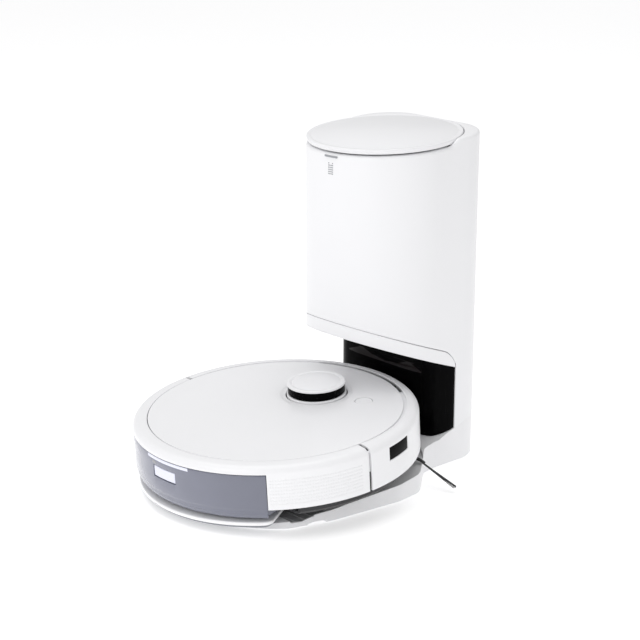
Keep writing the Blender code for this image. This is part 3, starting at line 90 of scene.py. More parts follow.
STATION_H = 0.4201
LID_LEAN = radians(3.0)
LID_T = 0.0062
LID_LEDGE = 0.0085
TOWER_Y = 0.1750
TOWER_R = 0.0975
TOWER_CORNER = 0.054
TOWER_WALL = 0.0030
LEDGE_W = 0.0110
POCKET_R = TOWER_R + 0.0013
SIDE_WALL_Y = 0.2110
UNDER_Z = 0.2058
UNDER_SLOPE = -0.370
VISOR_T = 0.0185
COLUMN_Y = 0.1800
COLUMN_CORNER = 0.030


# ------------------------------------------------------------------ mesh helpers
def spread(first, last, count):
    """count + 1 even values from first to last."""
    return [first + (last - first) * i / count for i in range(count + 1)]


def turn_angles(steps):
    return spread(0.0, 2 * pi, steps)[:steps]


def ring_at(radius, angles, z, centre=(0, 0)):
    """Points at one height, round a vertical axis."""
    return [Vector((centre[0] + radius * cos(a), centre[1] + radius * sin(a), z)) for a in angles]


def arc(centre, radius, start, end, count):
    """Plan points round an arc, angles in radians."""
    return [Vector((centre[0] + radius * cos(a), centre[1] + radius * sin(a)))
            for a in spread(start, end, count)]


def applied(obj):
    """A mesh with the object's modifiers applied."""
    bpy.context.view_layer.update()
    graph = bpy.context.evaluated_depsgraph_get()
    return bpy.data.meshes.new_from_object(obj.evaluated_get(graph))


def new_object(name, bm, matrix):
    mesh = bpy.data.meshes.new(name)
    bm.to_mesh(mesh)
    bm.free()
    mesh.transform(matrix)
    obj = bpy.data.objects.new(name, mesh)
    bpy.context.scene.collection.objects.link(obj)
    return obj


def grid(name, rows, matrix, closed=False, keep=None):
    """A surface through rows of points; keep(row, column) leaves a cell out where it is false."""
    bm = bmesh.new()
    verts = [[bm.verts.new(p) for p in row] for row in rows]
    for r in range(len(rows) - 1):
        count = len(rows[r])
        for c in range(count if closed else count - 1):
            if keep and not keep(r, c):
                continue
            n = (c + 1) % count
            bm.faces.new((verts[r][c], verts[r][n], verts[r + 1][n], verts[r + 1][c]))
    loose = [v for v in bm.verts if not v.link_faces]
    bmesh.ops.delete(bm, geom=loose, context="VERTS")
    bmesh.ops.remove_doubles(bm, verts=bm.verts, dist=0.000005)
    bmesh.ops.dissolve_degenerate(bm, edges=bm.edges, dist=0.000004)
    bmesh.ops.recalc_face_normals(bm, faces=bm.faces)
    return new_object(name, bm, matrix)


def thicken(obj, thickness):
    change = obj.modifiers.new("wall", "SOLIDIFY")
    change.thickness = thickness
    change.offset = -1.0
    change.use_even_offset = True
    return obj


def bevel(obj, width, segments=3, angle=35):
    change = obj.modifiers.new("edges", "BEVEL")
    change.width = width
    change.segments = segments
    change.limit_method = "ANGLE"
    change.angle_limit = radians(angle)
    change.harden_normals = False
    return obj


def finish(obj, body, material, stands_for=(), sharp=50):
    """Applies the modifiers, smooths the faces, and hangs the piece on its body."""
    mesh = applied(obj)
    old = obj.data
    obj.modifiers.clear()
    obj.data = mesh
    if old.users == 0:
        bpy.data.meshes.remove(old)
    mesh.materials.clear()
    mesh.materials.append(MATERIALS[material])
    mesh.shade_smooth()
    mesh.set_sharp_from_angle(angle=radians(sharp))
    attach(obj, body)
    if stands_for:
        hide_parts(*stands_for)
    return obj


def turned(name, profile, matrix, centre=(0, 0), steps=160):
    """Spins (radius, height) points about a vertical axis; a zero radius closes the middle."""
    rows = [ring_at(radius, turn_angles(steps), z, centre) for radius, z in profile]
    return grid(name, rows, matrix, closed=True)


def fillet(centre, radius, start, end, count=6):
    """(radius, height) points round an arc, angles in degrees."""
    return [(centre[0] + radius * cos(radians(a)), centre[1] + radius * sin(radians(a)))
            for a in spread(start, end, count)]


def rounded_line(points, radii, count=10):
    """The open line through points, each corner replaced by an arc of its own radius."""
    line = [Vector(points[0])]
    for i in range(1, len(points) - 1):
        corner = Vector(points[i])
        to_last = (Vector(points[i - 1]) - corner).normalized()
        to_next = (Vector(points[i + 1]) - corner).normalized()
        half = to_last.angle(to_next) / 2
        reach = radii[i] / tan(half)
        centre = corner + (to_last + to_next).normalized() * radii[i] / sin(half)
        first = corner + to_last * reach - centre
        last = corner + to_next * reach - centre
        start = atan2(first.y, first.x)
        sweep = (atan2(last.y, last.x) - start + pi) % (2 * pi) - pi
        line += arc(centre, radii[i], start, start + sweep, count)
    line.append(Vector(points[-1]))
    return line


def mirrored(half):
    """A closed outline from its right half, which runs from x = 0 round to x = 0."""
    return half + [Vector((-p.x, p.y)) for p in reversed(half) if abs(p.x) > 0.00001]


def slab(name, outline, low, high, matrix=None, side=False):
    """An outline made solid from low to high: along Z, or with side along X, drawn in (y, z)."""
    bm = bmesh.new()
    def at(p, h):
        return (h, p[0], p[1]) if side else (p[0], p[1], h)
    bottom = [bm.verts.new(at(p, low)) for p in outline]
    top = [bm.verts.new(at(p, high)) for p in outline]
    count = len(outline)
    bm.faces.new(bottom)
    bm.faces.new(top)
    for i in range(count):
        n = (i + 1) % count
        bm.faces.new((bottom[i], bottom[n], top[n], top[i]))
    bmesh.ops.recalc_face_normals(bm, faces=bm.faces)
    return new_object(name, bm, matrix or STILL)


def round_slab(name, centre, radius, low, high, steps=160, matrix=None):
    return slab(name, arc(centre, radius, 0.0, 2 * pi, steps)[:steps], low, high, matrix)


def round_patch(name, radius, turns, heights):
    """A curved panel round the robot's own axis, through the given angles and heights."""
    return grid(name, [ring_at(radius, turns, z) for z in heights], ROBOT)


def brick(name, low, high, matrix=None, turn=None):
    bm = bmesh.new()
    bmesh.ops.create_cube(bm, size=1.0)
    low, high = Vector(low), Vector(high)
    for vert in bm.verts:
        vert.co = Vector([(low[i] + high[i]) / 2 + vert.co[i] * (high[i] - low[i]) for i in range(3)])
    if turn:
        bm.transform(turn)
    return new_object(name, bm, matrix or STILL)


def carve(obj, tools, operation="DIFFERENCE"):
    """Applies one Boolean for each tool and removes the tools."""
    for tool in tools if isinstance(tools, (list, tuple)) else [tools]:
        change = obj.modifiers.new("cut", "BOOLEAN")
        change.operation = operation
        change.solver = "EXACT"
        change.object = tool
        mesh = applied(obj)
        obj.modifiers.clear()
        obj.data = mesh
        bpy.data.objects.remove(tool, do_unlink=True)
    bm = bmesh.new()
    bm.from_mesh(obj.data)
    bmesh.ops.remove_doubles(bm, verts=bm.verts, dist=0.00001)
    bmesh.ops.dissolve_degenerate(bm, edges=bm.edges, dist=0.00001)
    bm.to_mesh(obj.data)
    bm.free()
    return obj


def join(name, objects):
    """One object from several that share a material."""
    bm = bmesh.new()
    for obj in objects:
        mesh = applied(obj)
        bm.from_mesh(mesh)
        bpy.data.meshes.remove(mesh)
        bpy.data.objects.remove(obj, do_unlink=True)
    return new_object(name, bm, STILL)


# ------------------------------------------------------------------ materials
def put(node, **values):
    """Sets a node's inputs; an underscore stands for a space."""
    for name, value in values.items():
        node.inputs[name.replace("_", " ")].default_value = value


def shader_nodes(name):
    mat = bpy.data.materials.new(name)
    mat.use_nodes = True
    return mat, mat.node_tree, mat.node_tree.nodes["Principled BSDF"]


def noise_of(tree, scale, detail=3.0, stretch=(1, 1, 1)):
    place = tree.nodes.new("ShaderNodeTexCoord")
    mapping = tree.nodes.new("ShaderNodeMapping")
    put(mapping, Scale=stretch)
    noise = tree.nodes.new("ShaderNodeTexNoise")
    put(noise, Scale=scale, Detail=detail)
    tree.links.new(place.outputs["Object"], mapping.inputs["Vector"])
    tree.links.new(mapping.outputs["Vector"], noise.inputs["Vector"])
    return noise.outputs["Fac"]


def ramp_of(tree, source, stops):
    ramp = tree.nodes.new("ShaderNodeValToRGB")
    while len(ramp.color_ramp.elements) < len(stops):
        ramp.color_ramp.elements.new(0.5)
    for element, (position, colour) in zip(ramp.color_ramp.elements, stops):
        element.position = position
        element.color = (*colour, 1.0)
    tree.links.new(source, ramp.inputs["Fac"])
    return ramp.outputs["Color"]


def range_of(tree, source, low, high):
    change = tree.nodes.new("ShaderNodeMapRange")
    put(change, To_Min=low, To_Max=high)
    tree.links.new(source, change.inputs["Value"])
    return change.outputs["Result"]


def bump_of(tree, shader, source, strength, distance):
    bump = tree.nodes.new("ShaderNodeBump")
    put(bump, Strength=strength, Distance=distance)
    tree.links.new(source, bump.inputs["Height"])
    tree.links.new(bump.outputs["Normal"], shader.inputs["Normal"])


def plastic(name, colour, rough, grain=1400.0, bump=0.05, vary=0.02, coat=0.0, sheen=0.0, **sockets):
    """Moulded plastic: a fine grain in the surface, and colour and gloss that drift a little."""
    mat, tree, shader = shader_nodes(name)
    drift = noise_of(tree, 9.0)
    light = tuple(min(1.0, c * (1 + vary)) for c in colour)
    dark = tuple(c * (1 - vary) for c in colour)
    ramp = ramp_of(tree, drift, [(0.3, dark), (0.7, light)])
    tree.links.new(ramp, shader.inputs["Base Color"])
    gloss = range_of(tree, noise_of(tree, 40.0), rough * 0.9, min(1.0, rough * 1.12))
    tree.links.new(gloss, shader.inputs["Roughness"])
    bump_of(tree, shader, noise_of(tree, grain, 2.0), bump, 0.0002)
    put(shader, Coat_Weight=coat, Coat_Roughness=0.06, Sheen_Weight=sheen, **sockets)
    return mat


def metal(name, colour, rough):
    """Drawn or plated metal with fine streaks along X."""
    mat, tree, shader = shader_nodes(name)
    put(shader, Base_Color=(*colour, 1.0), Metallic=1.0)
    streaks = noise_of(tree, 260.0, 4.0, (0.06, 1, 1))
    gloss = range_of(tree, streaks, rough * 0.8, rough * 1.3)
    tree.links.new(gloss, shader.inputs["Roughness"])
    bump_of(tree, shader, streaks, 0.1, 0.0001)
    return mat


def cloth(name, colour, pitch=700.0):
    """Looped microfibre: soft, matt, with a nap that shows as a fine mottle."""
    mat, tree, shader = shader_nodes(name)
    nap = noise_of(tree, pitch, 5.0)
    ramp = ramp_of(tree, nap, [(0.3, tuple(c * 0.72 for c in colour)), (0.7, colour)])
    tree.links.new(ramp, shader.inputs["Base Color"])
    put(shader, Roughness=0.95, Sheen_Weight=0.4)
    bump_of(tree, shader, nap, 0.6, 0.0008)
    return mat


def translucent(name, lit_side_colour, shaded_side_colour):
    """Smoky tank plastic whose tone changes slowly along the wall: a ramp along X paints light on the left
    end and shade on the right end, as the light falls, with a slow random drift on top.
    """
    mat, tree, shader = shader_nodes(name)
    place = tree.nodes.new("ShaderNodeTexCoord")
    split = tree.nodes.new("ShaderNodeSeparateXYZ")
    tree.links.new(place.outputs["Object"], split.inputs["Vector"])
    along = tree.nodes.new("ShaderNodeMapRange")
    put(along, From_Min=-0.13, From_Max=0.13)
    tree.links.new(split.outputs["X"], along.inputs["Value"])
    middle = tuple((a + b) / 2 for a, b in zip(lit_side_colour, shaded_side_colour))
    # painted light and shade: the lit left end runs through a middle tone to the shaded right end
    ramp = ramp_of(tree, along.outputs["Result"], [(0.1, lit_side_colour), (0.55, middle),
                                                   (0.95, shaded_side_colour)])
    drift = noise_of(tree, 26.0, 2.0)
    tone = range_of(tree, drift, 0.93, 1.05)
    mix = tree.nodes.new("ShaderNodeVectorMath")
    mix.operation = "SCALE"
    tree.links.new(ramp, mix.inputs[0])
    tree.links.new(tone, mix.inputs["Scale"])
    tree.links.new(mix.outputs["Vector"], shader.inputs["Base Color"])
    gloss = range_of(tree, noise_of(tree, 60.0), 0.14, 0.20)
    tree.links.new(gloss, shader.inputs["Roughness"])
    put(shader, Transmission_Weight=0.22, Coat_Weight=0.5, Coat_Roughness=0.05)
    return mat


MATERIALS = {
    "white_shell": plastic("white_shell", (0.86, 0.86, 0.875), 0.34, vary=0.006, coat=0.10),
    "lid_white": plastic("lid_white", (0.83, 0.83, 0.845), 0.42, vary=0.006),
    "latch_white": plastic("latch_white", (0.80, 0.81, 0.93), 0.30, vary=0.01, coat=0.2),
    "clear_plate": plastic("clear_plate", (0.95, 0.95, 0.96), 0.16, vary=0.01, coat=0.5),
    "black_gloss": plastic("black_gloss", (0.0012, 0.0012, 0.0014), 0.16, bump=0.01, vary=0.2,
                           Specular_IOR_Level=0.03),
    "ir_plastic": plastic("ir_plastic", (0.004, 0.002, 0.002), 0.10, bump=0.01, vary=0.2,
                          Specular_IOR_Level=0.25),
    "dark_plastic": plastic("dark_plastic", (0.020, 0.020, 0.022), 0.48, grain=900.0, bump=0.2, vary=0.10),
    "grey_plastic": plastic("grey_plastic", (0.36, 0.36, 0.37), 0.50, grain=900.0, bump=0.15, vary=0.05),
    # the tank's two colours paint light on its left end and shade on its right end
    "tank_plastic": translucent("tank_plastic", (0.30, 0.31, 0.39), (0.205, 0.215, 0.275)),
    "rubber_dark": plastic("rubber_dark", (0.022, 0.022, 0.024), 0.72, grain=700.0, bump=0.3, vary=0.15),
    "tyre_rubber": plastic("tyre_rubber", (0.017, 0.017, 0.018), 0.80, grain=600.0, bump=0.4, vary=0.15),
    "brush_fibre": plastic("brush_fibre", (0.030, 0.030, 0.032), 0.55, grain=1600.0, bump=0.3, vary=0.2,
                           sheen=0.2),
    "mop_cloth": cloth("mop_cloth", (0.30, 0.31, 0.34)),
    "bag_paper": cloth("bag_paper", (0.66, 0.64, 0.60), 420.0),
    "collar_card": plastic("collar_card", (0.42, 0.31, 0.20), 0.85, grain=380.0, bump=0.5, vary=0.08),
    "filter_media": cloth("filter_media", (0.78, 0.78, 0.76), 900.0),
    "contact_metal": metal("contact_metal", (0.78, 0.76, 0.70), 0.28),
    "pin_steel": metal("pin_steel", (0.62, 0.62, 0.64), 0.30),
    "board_green": plastic("board_green", (0.02, 0.13, 0.06), 0.35, grain=300.0, bump=0.2, vary=0.15),
    "battery_wrap": plastic("battery_wrap", (0.04, 0.09, 0.26), 0.38, grain=200.0, bump=0.2, vary=0.08),
    "lamp_grey": plastic("lamp_grey", (0.30, 0.31, 0.33), 0.30, vary=0.03, coat=0.3),
}


def paint_frame():
    """Every CAD node takes its record slot's material."""
    slots = {row["node"]: row["material_slot"] for row in frame["record"]["subparts"]}
    for name, obj in frame["nodes"].items():
        mat = MATERIALS[slots[name]]
        if not obj.material_slots:
            obj.data.materials.append(mat)
        for place in obj.material_slots:
            place.material = mat


# ------------------------------------------------------------------ robot: deck and skins
def skin_profile(inner):
    """(radius, height) from the cover's seam over the shoulder to the wall's top row."""
    shoulder = 0.0088
    line = [(inner, DECK_Z - 0.0022), (inner, DECK_Z - 0.0006), (inner + 0.0003, DECK_Z - 0.0001),
            (inner + 0.0009, DECK_Z), (0.1640, DECK_Z - 0.0002)]
    top = DECK_Z - 0.0006
    line += [(R - shoulder + shoulder * sin(radians(a)), top - shoulder * (1 - cos(radians(a))))
             for a in (0, 8, 18, 30, 42, 54, 66, 78, 90)]
    return line


def skin_rows(inner, angles, walls):
    """Rows of points over the skin: angles are given at the wall's radius, walls are its lower heights."""
    rows = []
    first, last = angles[0], angles[-1]
    for radius, z in skin_profile(inner) + [(R, z) for z in walls]:
        row = []
        for a in angles:
            share = (a - first) / (last - first)
            low = asin(R * sin(first) / radius)
            high = pi - asin(R * sin(last) / radius) if last > pi / 2 else asin(R * sin(last) / radius)
            angle = low + share * (high - low)
            row.append(Vector((radius * cos(angle), radius * sin(angle), z)))
        rows.append(row)
    return rows


def steps_through(marks, pitch):
    """Values from the first mark to the last that hit every mark, no further apart than pitch."""
    values = [marks[0]]
    for low, high in zip(marks, marks[1:]):
        count = max(1, round((high - low) / pitch))
        values += [low + (high - low) * (i + 1) / count for i in range(count)]
    return values


def make_bumper():
    start = asin(BUMPER_END_Y / R)
    side = WINDOW_ANGLES
    front = (pi / 2 - FRONT_WINDOW_HALF, pi / 2 + FRONT_WINDOW_HALF)
    margin = 0.0004 / R
    marks = [start, side[0] - margin, side[1] + margin, front[0] - margin, front[1] + margin, pi - start]
    angles = steps_through(marks, radians(1.2))
    edge = 0.0004
    walls = sorted({WINDOW_Z[1] - edge, WINDOW_Z[0] - edge, FRONT_WINDOW_Z[1] + edge,
                    FRONT_WINDOW_Z[0] - edge, SKIRT_Z + 0.004, SKIRT_Z}, reverse=True)
    lead = len(skin_profile(COVER_R))

    def keep(r, c):
        if r < lead:
            return True
        z = (walls[r - lead] + walls[r - lead + 1]) / 2 if r - lead + 1 < len(walls) else 0
        a = (angles[c] + angles[c + 1]) / 2
        in_side = side[0] < a < side[1] and WINDOW_Z[0] - edge < z < WINDOW_Z[1]
        in_front = front[0] < a < front[1] and FRONT_WINDOW_Z[0] - edge < z < FRONT_WINDOW_Z[1] + edge
        return not (in_side or in_front)

    rows = skin_rows(COVER_R + 0.0052, angles, walls)
    centre = Vector((0, LIP_SHIFT))
    for row in rows[:3]:
        for point in row:
            point.xy = centre + (point.xy - centre).normalized() * (COVER_R + SEAM)
    shell = grid("bumper_skin", rows, ROBOT, keep=keep)
    finish(bevel(thicken(shell, 0.0026), 0.0005), "bumper", "white_shell", ["front_bumper"])
    for name, (a0, a1), (z0, z1), node in (
            ("side_window", side, (WINDOW_Z[0], WINDOW_Z[1] - 0.0008), "side_sensor_window"),
            ("front_window", front, FRONT_WINDOW_Z, "front_sensor_window")):
        pane = round_patch(name, R - 0.0004, spread(a0, a1, 24), (z1, (z0 + z1) / 2, z0))
        finish(bevel(thicken(pane, 0.0016), 0.0004), "bumper", "black_gloss", [node])
    for name, start, end in (("right", 0.0, GUTTER_REACH), ("left", pi, pi - GUTTER_REACH)):
        rows = [ring_at(radius, spread(start, end, 40), GUTTER_Z)
                for radius in (COVER_R - 0.0003, COVER_R + 0.0100)]
        finish(thicken(grid(f"rim_gutter_{name}", rows, ROBOT), -0.0010), "robot", "white_shell")


def make_rear_shell():
    start = -pi - asin((BUMPER_END_Y - BUMPER_GAP) / R)
    marks = [start, -pi / 2 - TANK_HALF, -pi / 2 + TANK_HALF, asin((BUMPER_END_Y - BUMPER_GAP) / R)]
    angles = steps_through(marks, radians(1.0))
    slot_rows = 9
    pitch = 0.0021
    walls = [TANK_TOP + SEAM]
    walls += [0.0660 - pitch * i for i in range(2 * slot_rows)]
    walls += [SKIRT_Z + 0.0012, SKIRT_Z]
    lead = len(skin_profile(COVER_R))

    rows = []
    shares = [(a - angles[0]) / (angles[-1] - angles[0]) for a in angles]
    for radius, z in skin_profile(COVER_R + SEAM) + [(R, z) for z in walls]:
        end = asin((BUMPER_END_Y - BUMPER_GAP) / radius)
        rows.append(ring_at(radius, [-pi - end + share * (pi + 2 * end) for share in shares], z))

    def keep(r, c):
        a = (angles[c] + angles[c + 1]) / 2
        return not (r >= lead and abs(a + pi / 2) < TANK_HALF)

    shell = grid("rear_skin", rows, ROBOT, keep=keep)
    bm = bmesh.new()
    bm.from_mesh(shell.data)
    to_own = ROBOT.inverted()
    slots = []
    for face in bm.faces:
        middle = to_own @ face.calc_center_median()
        if hypot(middle.x, middle.y) < R - 0.001 or not 0.029 < middle.z < 0.0645:
            continue
        angle = degrees(atan2(middle.y, middle.x))
        side_angle = -angle if angle > -90 else 180 + angle
        row = int((0.0660 - middle.z) / pitch)
        if 6.0 < side_angle < 43.0 and row % 2 == 1:
            slots.append(face)
    bmesh.ops.inset_individual(bm, faces=slots, thickness=0.00062, depth=-0.0005, use_even_offset=True)
    bm.to_mesh(shell.data)
    bm.free()
    finish(bevel(thicken(shell, 0.0026), 0.0005, 2, 50), "robot", "white_shell", ["rear_shell"], sharp=60)
    for side, first, last in (("right", radians(-3.4), radians(-1.2)),
                              ("left", radians(181.2), radians(183.4))):
        for name, low, high, material in (("upper", 0.0490, 0.0755, "white_shell"),
                                          ("lower", 0.0270, 0.0485, "rubber_dark")):
            wall = round_patch(f"gap_wall_{side}_{name}", R - 0.0032, spread(first, last, 6), (high, low))
            finish(thicken(wall, 0.0010), "robot", material)


def make_cover():
    """The lift-up deck: flat, with a rolled rim, a shallow dish round the turret and two holes."""
    hole = LDS_R + 0.0015
    dish = 0.0470
    depth = 0.0010
    rim = 0.0006
    under = DECK_Z - 0.0026
    steps = 240
    heights = [(hole, under), (hole, DECK_Z - depth - 0.0003), (hole + 0.0003, DECK_Z - depth)]
    heights += [(dish - 0.0045 + 0.0045 * i / 6, DECK_Z - depth * (1 + cos(pi * i / 6)) / 2)
                for i in range(7)]
    rows = [ring_at(radius, turn_angles(steps), z, (0, LDS_Y)) for radius, z in heights]
    edge = [(COVER_R - rim, DECK_Z), (COVER_R - rim * 0.3, DECK_Z - rim * 0.3), (COVER_R, DECK_Z - rim),
            (COVER_R, under)]
    for radius, z in edge:
        row = []
        for turn in turn_angles(steps):
            reach = -LDS_Y * sin(turn) + sqrt(radius ** 2 - (LDS_Y * cos(turn)) ** 2)
            row.append(Vector((reach * cos(turn), LDS_Y + reach * sin(turn), z)))
        rows.append(row)
    rows.append(list(rows[0]))
    cover = grid("deck_cover", rows, ROBOT, closed=True)
    carve(cover, round_slab("button_hole", BUTTON, BUTTON_R + 0.0006, 0.07, 0.09, 96, ROBOT))
    finish(bevel(cover, 0.00025, 2, 50), "robot_cover", "white_shell", ["top_cover"], sharp=20)


def make_turret():
    r = LDS_R
    rim = LDS_RIM_Z
    profile = [(r - 0.0036, rim - 0.0060), (r - 0.0034, rim - 0.0006)]
    profile += fillet((r - 0.0026, rim - 0.0008), 0.0008, 180, 90, 4)
    profile += fillet((r - 0.0012, rim - 0.0012), 0.0012, 90, 0, 5) + [(r, rim - 0.0100), (r, 0.0530)]
    finish(turned("turret_collar", profile, ROBOT, (0, LDS_Y)), "robot", "white_shell", ["lds_housing"])

    w = 0.0360
    low, high = rim + 0.0014, LDS_TOP_Z - 0.0030
    band = turned("turret_window", [(w - 0.002, high), (w, high), (w, low), (w - 0.002, low)], ROBOT,
                  (0, LDS_Y))
    finish(band, "laser_turret", "black_gloss", ["lds_window"])
    c = 0.0368
    top = LDS_TOP_Z
    cap = [(c - 0.0040, top - 0.0032), (c - 0.0006, top - 0.0032)]
    cap += fillet((c - 0.0006, top - 0.0026), 0.0006, -90, 0, 4)
    cap += fillet((c - 0.0014, top - 0.0014), 0.0014, 0, 90, 6)
    cap += [(c - 0.0052, top), (c - 0.0056, top - 0.0003), (c - 0.0060, top - 0.0007),
            (c - 0.0068, top - 0.0007), (c - 0.0072, top - 0.0004), (c - 0.0078, top - 0.0002),
            (0.012, top - 0.0001), (0, top - 0.0001)]
    finish(turned("turret_cap", cap, ROBOT, (0, LDS_Y)), "laser_turret", "white_shell", ["lds_cap"])

    b = BUTTON_R
    z = DECK_Z - 0.0002
    key = [(b, z - 0.0056), (b, z - 0.0005)] + fillet((b - 0.0005, z - 0.0005), 0.0005, 0, 90, 4)
    key += [(b - 0.0022, z), (b - 0.0040, z - 0.0003), (0, z - 0.0006)]
    finish(turned("power_key_cap", key, ROBOT, BUTTON, 96), "power_key", "white_shell", ["power_button"])


def make_tank():
    half = TANK_HALF - SEAM / R
    r = R - 0.0003
    latch_half = 0.0206 / r
    marks = steps_through([-pi / 2 - half, -pi / 2 - latch_half, -pi / 2 + latch_half, -pi / 2 + half],
                          radians(1.0))
    z0, z1 = 0.0435 - 0.0006, 0.0575 + 0.0006
    profile = [(r - 0.0075, TANK_TOP), (r - 0.0016, TANK_TOP), (r - 0.0004, TANK_TOP - 0.0005),
               (r, TANK_TOP - 0.0016), (r, z1), (r, z0), (r, 0.0272), (r - 0.0004, 0.0262),
               (r - 0.0010, 0.0254), (r - 0.0012, 0.0215), (r - 0.0013, 0.0205),
               (r - 0.0021, 0.0198), (r - 0.0024, 0.0175), (r - 0.0040, 0.0148),
               (r - 0.0062, TANK_BOTTOM + 0.0002), (r - 0.0200, TANK_BOTTOM)]
    rows = [ring_at(radius, marks, z) for radius, z in profile]

    def keep(row, c):
        a = (marks[c] + marks[c + 1]) / 2
        return not (row == 4 and abs(a + pi / 2) < latch_half)

    shell = grid("tank_wall", rows, ROBOT, keep=keep)
    finish(bevel(thicken(shell, 0.0020), 0.0005, 2), "tank", "tank_plastic")
    body = arc((0, 0), R - 0.0105, -pi / 2, half - pi / 2, 20)
    body += [Vector((0.1130, -0.0940)), Vector((0, -0.0940))]
    core = slab("tank_body", mirrored(body), TANK_BOTTOM + 0.0004, TANK_TOP - 0.0003, ROBOT)
    finish(bevel(core, 0.0020), "tank", "tank_plastic", ["water_tank"])

    turns = [-pi / 2 + x / r for x in spread(-0.0198, 0.0198, 16)]
    latch = round_patch("tank_latch_face", r - 0.0004, turns, (0.0570, 0.0560, 0.0500, 0.0440))
    finish(bevel(thicken(latch, 0.0050), 0.0008), "tank_latch", "latch_white", ["tank_release"])
    for name, first, last, low, high, material in (
            ("latch_flange", -100.5, -76.5, 0.0650, 0.0688, "latch_white"),
            ("latch_catch", -97.2, -94.8, 0.0596, 0.0632, "grey_plastic"),
            ("tank_end_strip", -133.0, -126.0, 0.0500, 0.0672, "latch_white")):
        strip = round_patch(name, R - 0.00015, [radians(a) for a in spread(first, last, 20)], (high, low))
        finish(bevel(thicken(strip, 0.0008), 0.0003, 2), "tank", material)


def make_mop():
    half = arc((0, -0.0150), 0.1605, -pi / 2, radians(-40.0), 24)
    line = rounded_line([half[-3], half[-1], (0.0920, -0.0600), (0.0, -0.0600)], [0, 0.012, 0.010, 0])
    outline = mirrored(half[:-3] + line)
    plate = slab("mop_carrier", outline, 0.0038, 0.0085, ROBOT)
    finish(bevel(plate, 0.0016, 4), "mop", "clear_plate", ["mop_plate"])
    inner = [Vector((p.x * 0.978, -0.118 + (p.y + 0.118) * 0.955)) for p in outline]
    pad = slab("mop_cloth_pad", inner, 0.0009, 0.0036, ROBOT)
    pad = finish(bevel(pad, 0.0012, 3), "mop", "mop_cloth", ["mop_pad"])


# ------------------------------------------------------------------ station
def lean_z(y, drop=0.0):
    return STATION_H - drop + tan(LID_LEAN) * (y - TOWER_Y)


def underside(y):
    return UNDER_Z + UNDER_SLOPE * y


def seam_line(y):
    """The visor's upper seam, which turns down to the underside at its rear end."""
    bend = 0.1890
    rear = 0.2105
    share = 0.0 if y < bend else min(1.0, (y - bend) / (rear - bend))
    return underside(y) + VISOR_T * sqrt(1 - share ** 2)


BASE_LINE = [(-0.018, 0.0170), (0.120, 0.0267), (0.140, 0.0300), (0.152, 0.0342), (0.184, 0.0368),
             (0.1995, 0.0430), (0.225, 0.0505), (0.250, 0.0560), (0.300, 0.0560)]


def base_top(y):
    """Side view of the base's highest line."""
    line = [(-0.152, 0.0036)] + BASE_LINE
    for (y0, z0), (y1, z1) in zip(line, line[1:]):
        if y <= y1:
            return z0 + (z1 - z0) * (y - y0) / (y1 - y0)
    return line[-1][1]


def tower_half():
    """The tower's plan from the middle of its front to the middle of its back, right side."""
    half = arc((0, TOWER_Y), TOWER_R, -pi / 2, 0.0, 48)
    centre = Vector((TOWER_R - TOWER_CORNER, TOWER_BACK_Y - TOWER_CORNER))
    walls = (0.185, 0.190, 0.195, 0.200, 0.204, 0.2075, 0.2095, SIDE_WALL_Y)
    half += [Vector((TOWER_R, y)) for y in walls]
    half += arc(centre, TOWER_CORNER, 0.0, pi / 2, 20)
    half += [Vector((centre.x * (1 - i / 4), TOWER_BACK_Y)) for i in range(1, 5)]
    return half


def make_tower():
    """Outer wall, rounded upper edge, rear shoulder, lid pocket and ledge as one surface."""
    edge = 0.0040
    centre = Vector((0, TOWER_Y))
    ring = mirrored(tower_half())
    columns = []
    for p in ring:
        away = p - centre
        reach = away.length
        away.normalize()
        rise = min(1.0, max(0.0, (p.y - 0.192) / 0.020))
        rise = rise * rise * (3 - 2 * rise)
        drop = LID_LEDGE + (0.0004 - LID_LEDGE) * rise
        bottom = seam_line(p.y) if p.y < SIDE_WALL_Y - 0.0004 else None
        column = []
        base = base_top(p.y) + 0.0004
        column += [(reach, base, p.y), (reach, base + 0.02, p.y)]
        low = bottom if bottom else seam_line(0.2095)
        column += [(reach, low, p.y)]
        top = lean_z(p.y, drop) - edge
        column += [(reach, low + (top - low) * share, p.y) for share in (0.02, 0.5, 1.0)]
        for a in (18, 36, 54, 72, 90):
            column.append((reach - edge * (1 - cos(radians(a))), None, edge * (1 - sin(radians(a))) + drop))
        inner = min(reach - edge - 0.0002, POCKET_R + 0.0008)
        column.append((inner, None, drop))
        step = min(0.0008, (LID_LEDGE - drop) * 0.2)
        wall = min(inner - 0.0003, POCKET_R)
        column.append((wall, None, drop + step))
        column.append((wall - 0.0001, None, LID_LEDGE - 0.0001))
        column.append((TOWER_R - LEDGE_W + TOWER_WALL, None, LID_LEDGE))
        column.append((TOWER_R - LEDGE_W + TOWER_WALL, None, LID_LEDGE + 0.0030))
        points = []
        for radius, z, extra in column:
            at = centre + away * radius
            height = z if z is not None else lean_z(at.y, extra)
            points.append(Vector((at.x, at.y, height)))
        columns.append((bottom, points))
    rows = [[points[i] for _, points in columns] for i in range(len(columns[0][1]))]
    count = len(columns)

    def keep(r, c):
        front = columns[c][0] is not None or columns[(c + 1) % count][0] is not None
        return not (r < 2 and front)

    tower = grid("tower_skin", rows, STATION, closed=True, keep=keep)
    finish(bevel(thicken(tower, 0.0028), 0.0006), "station", "white_shell", ["tower_housing"], sharp=40)


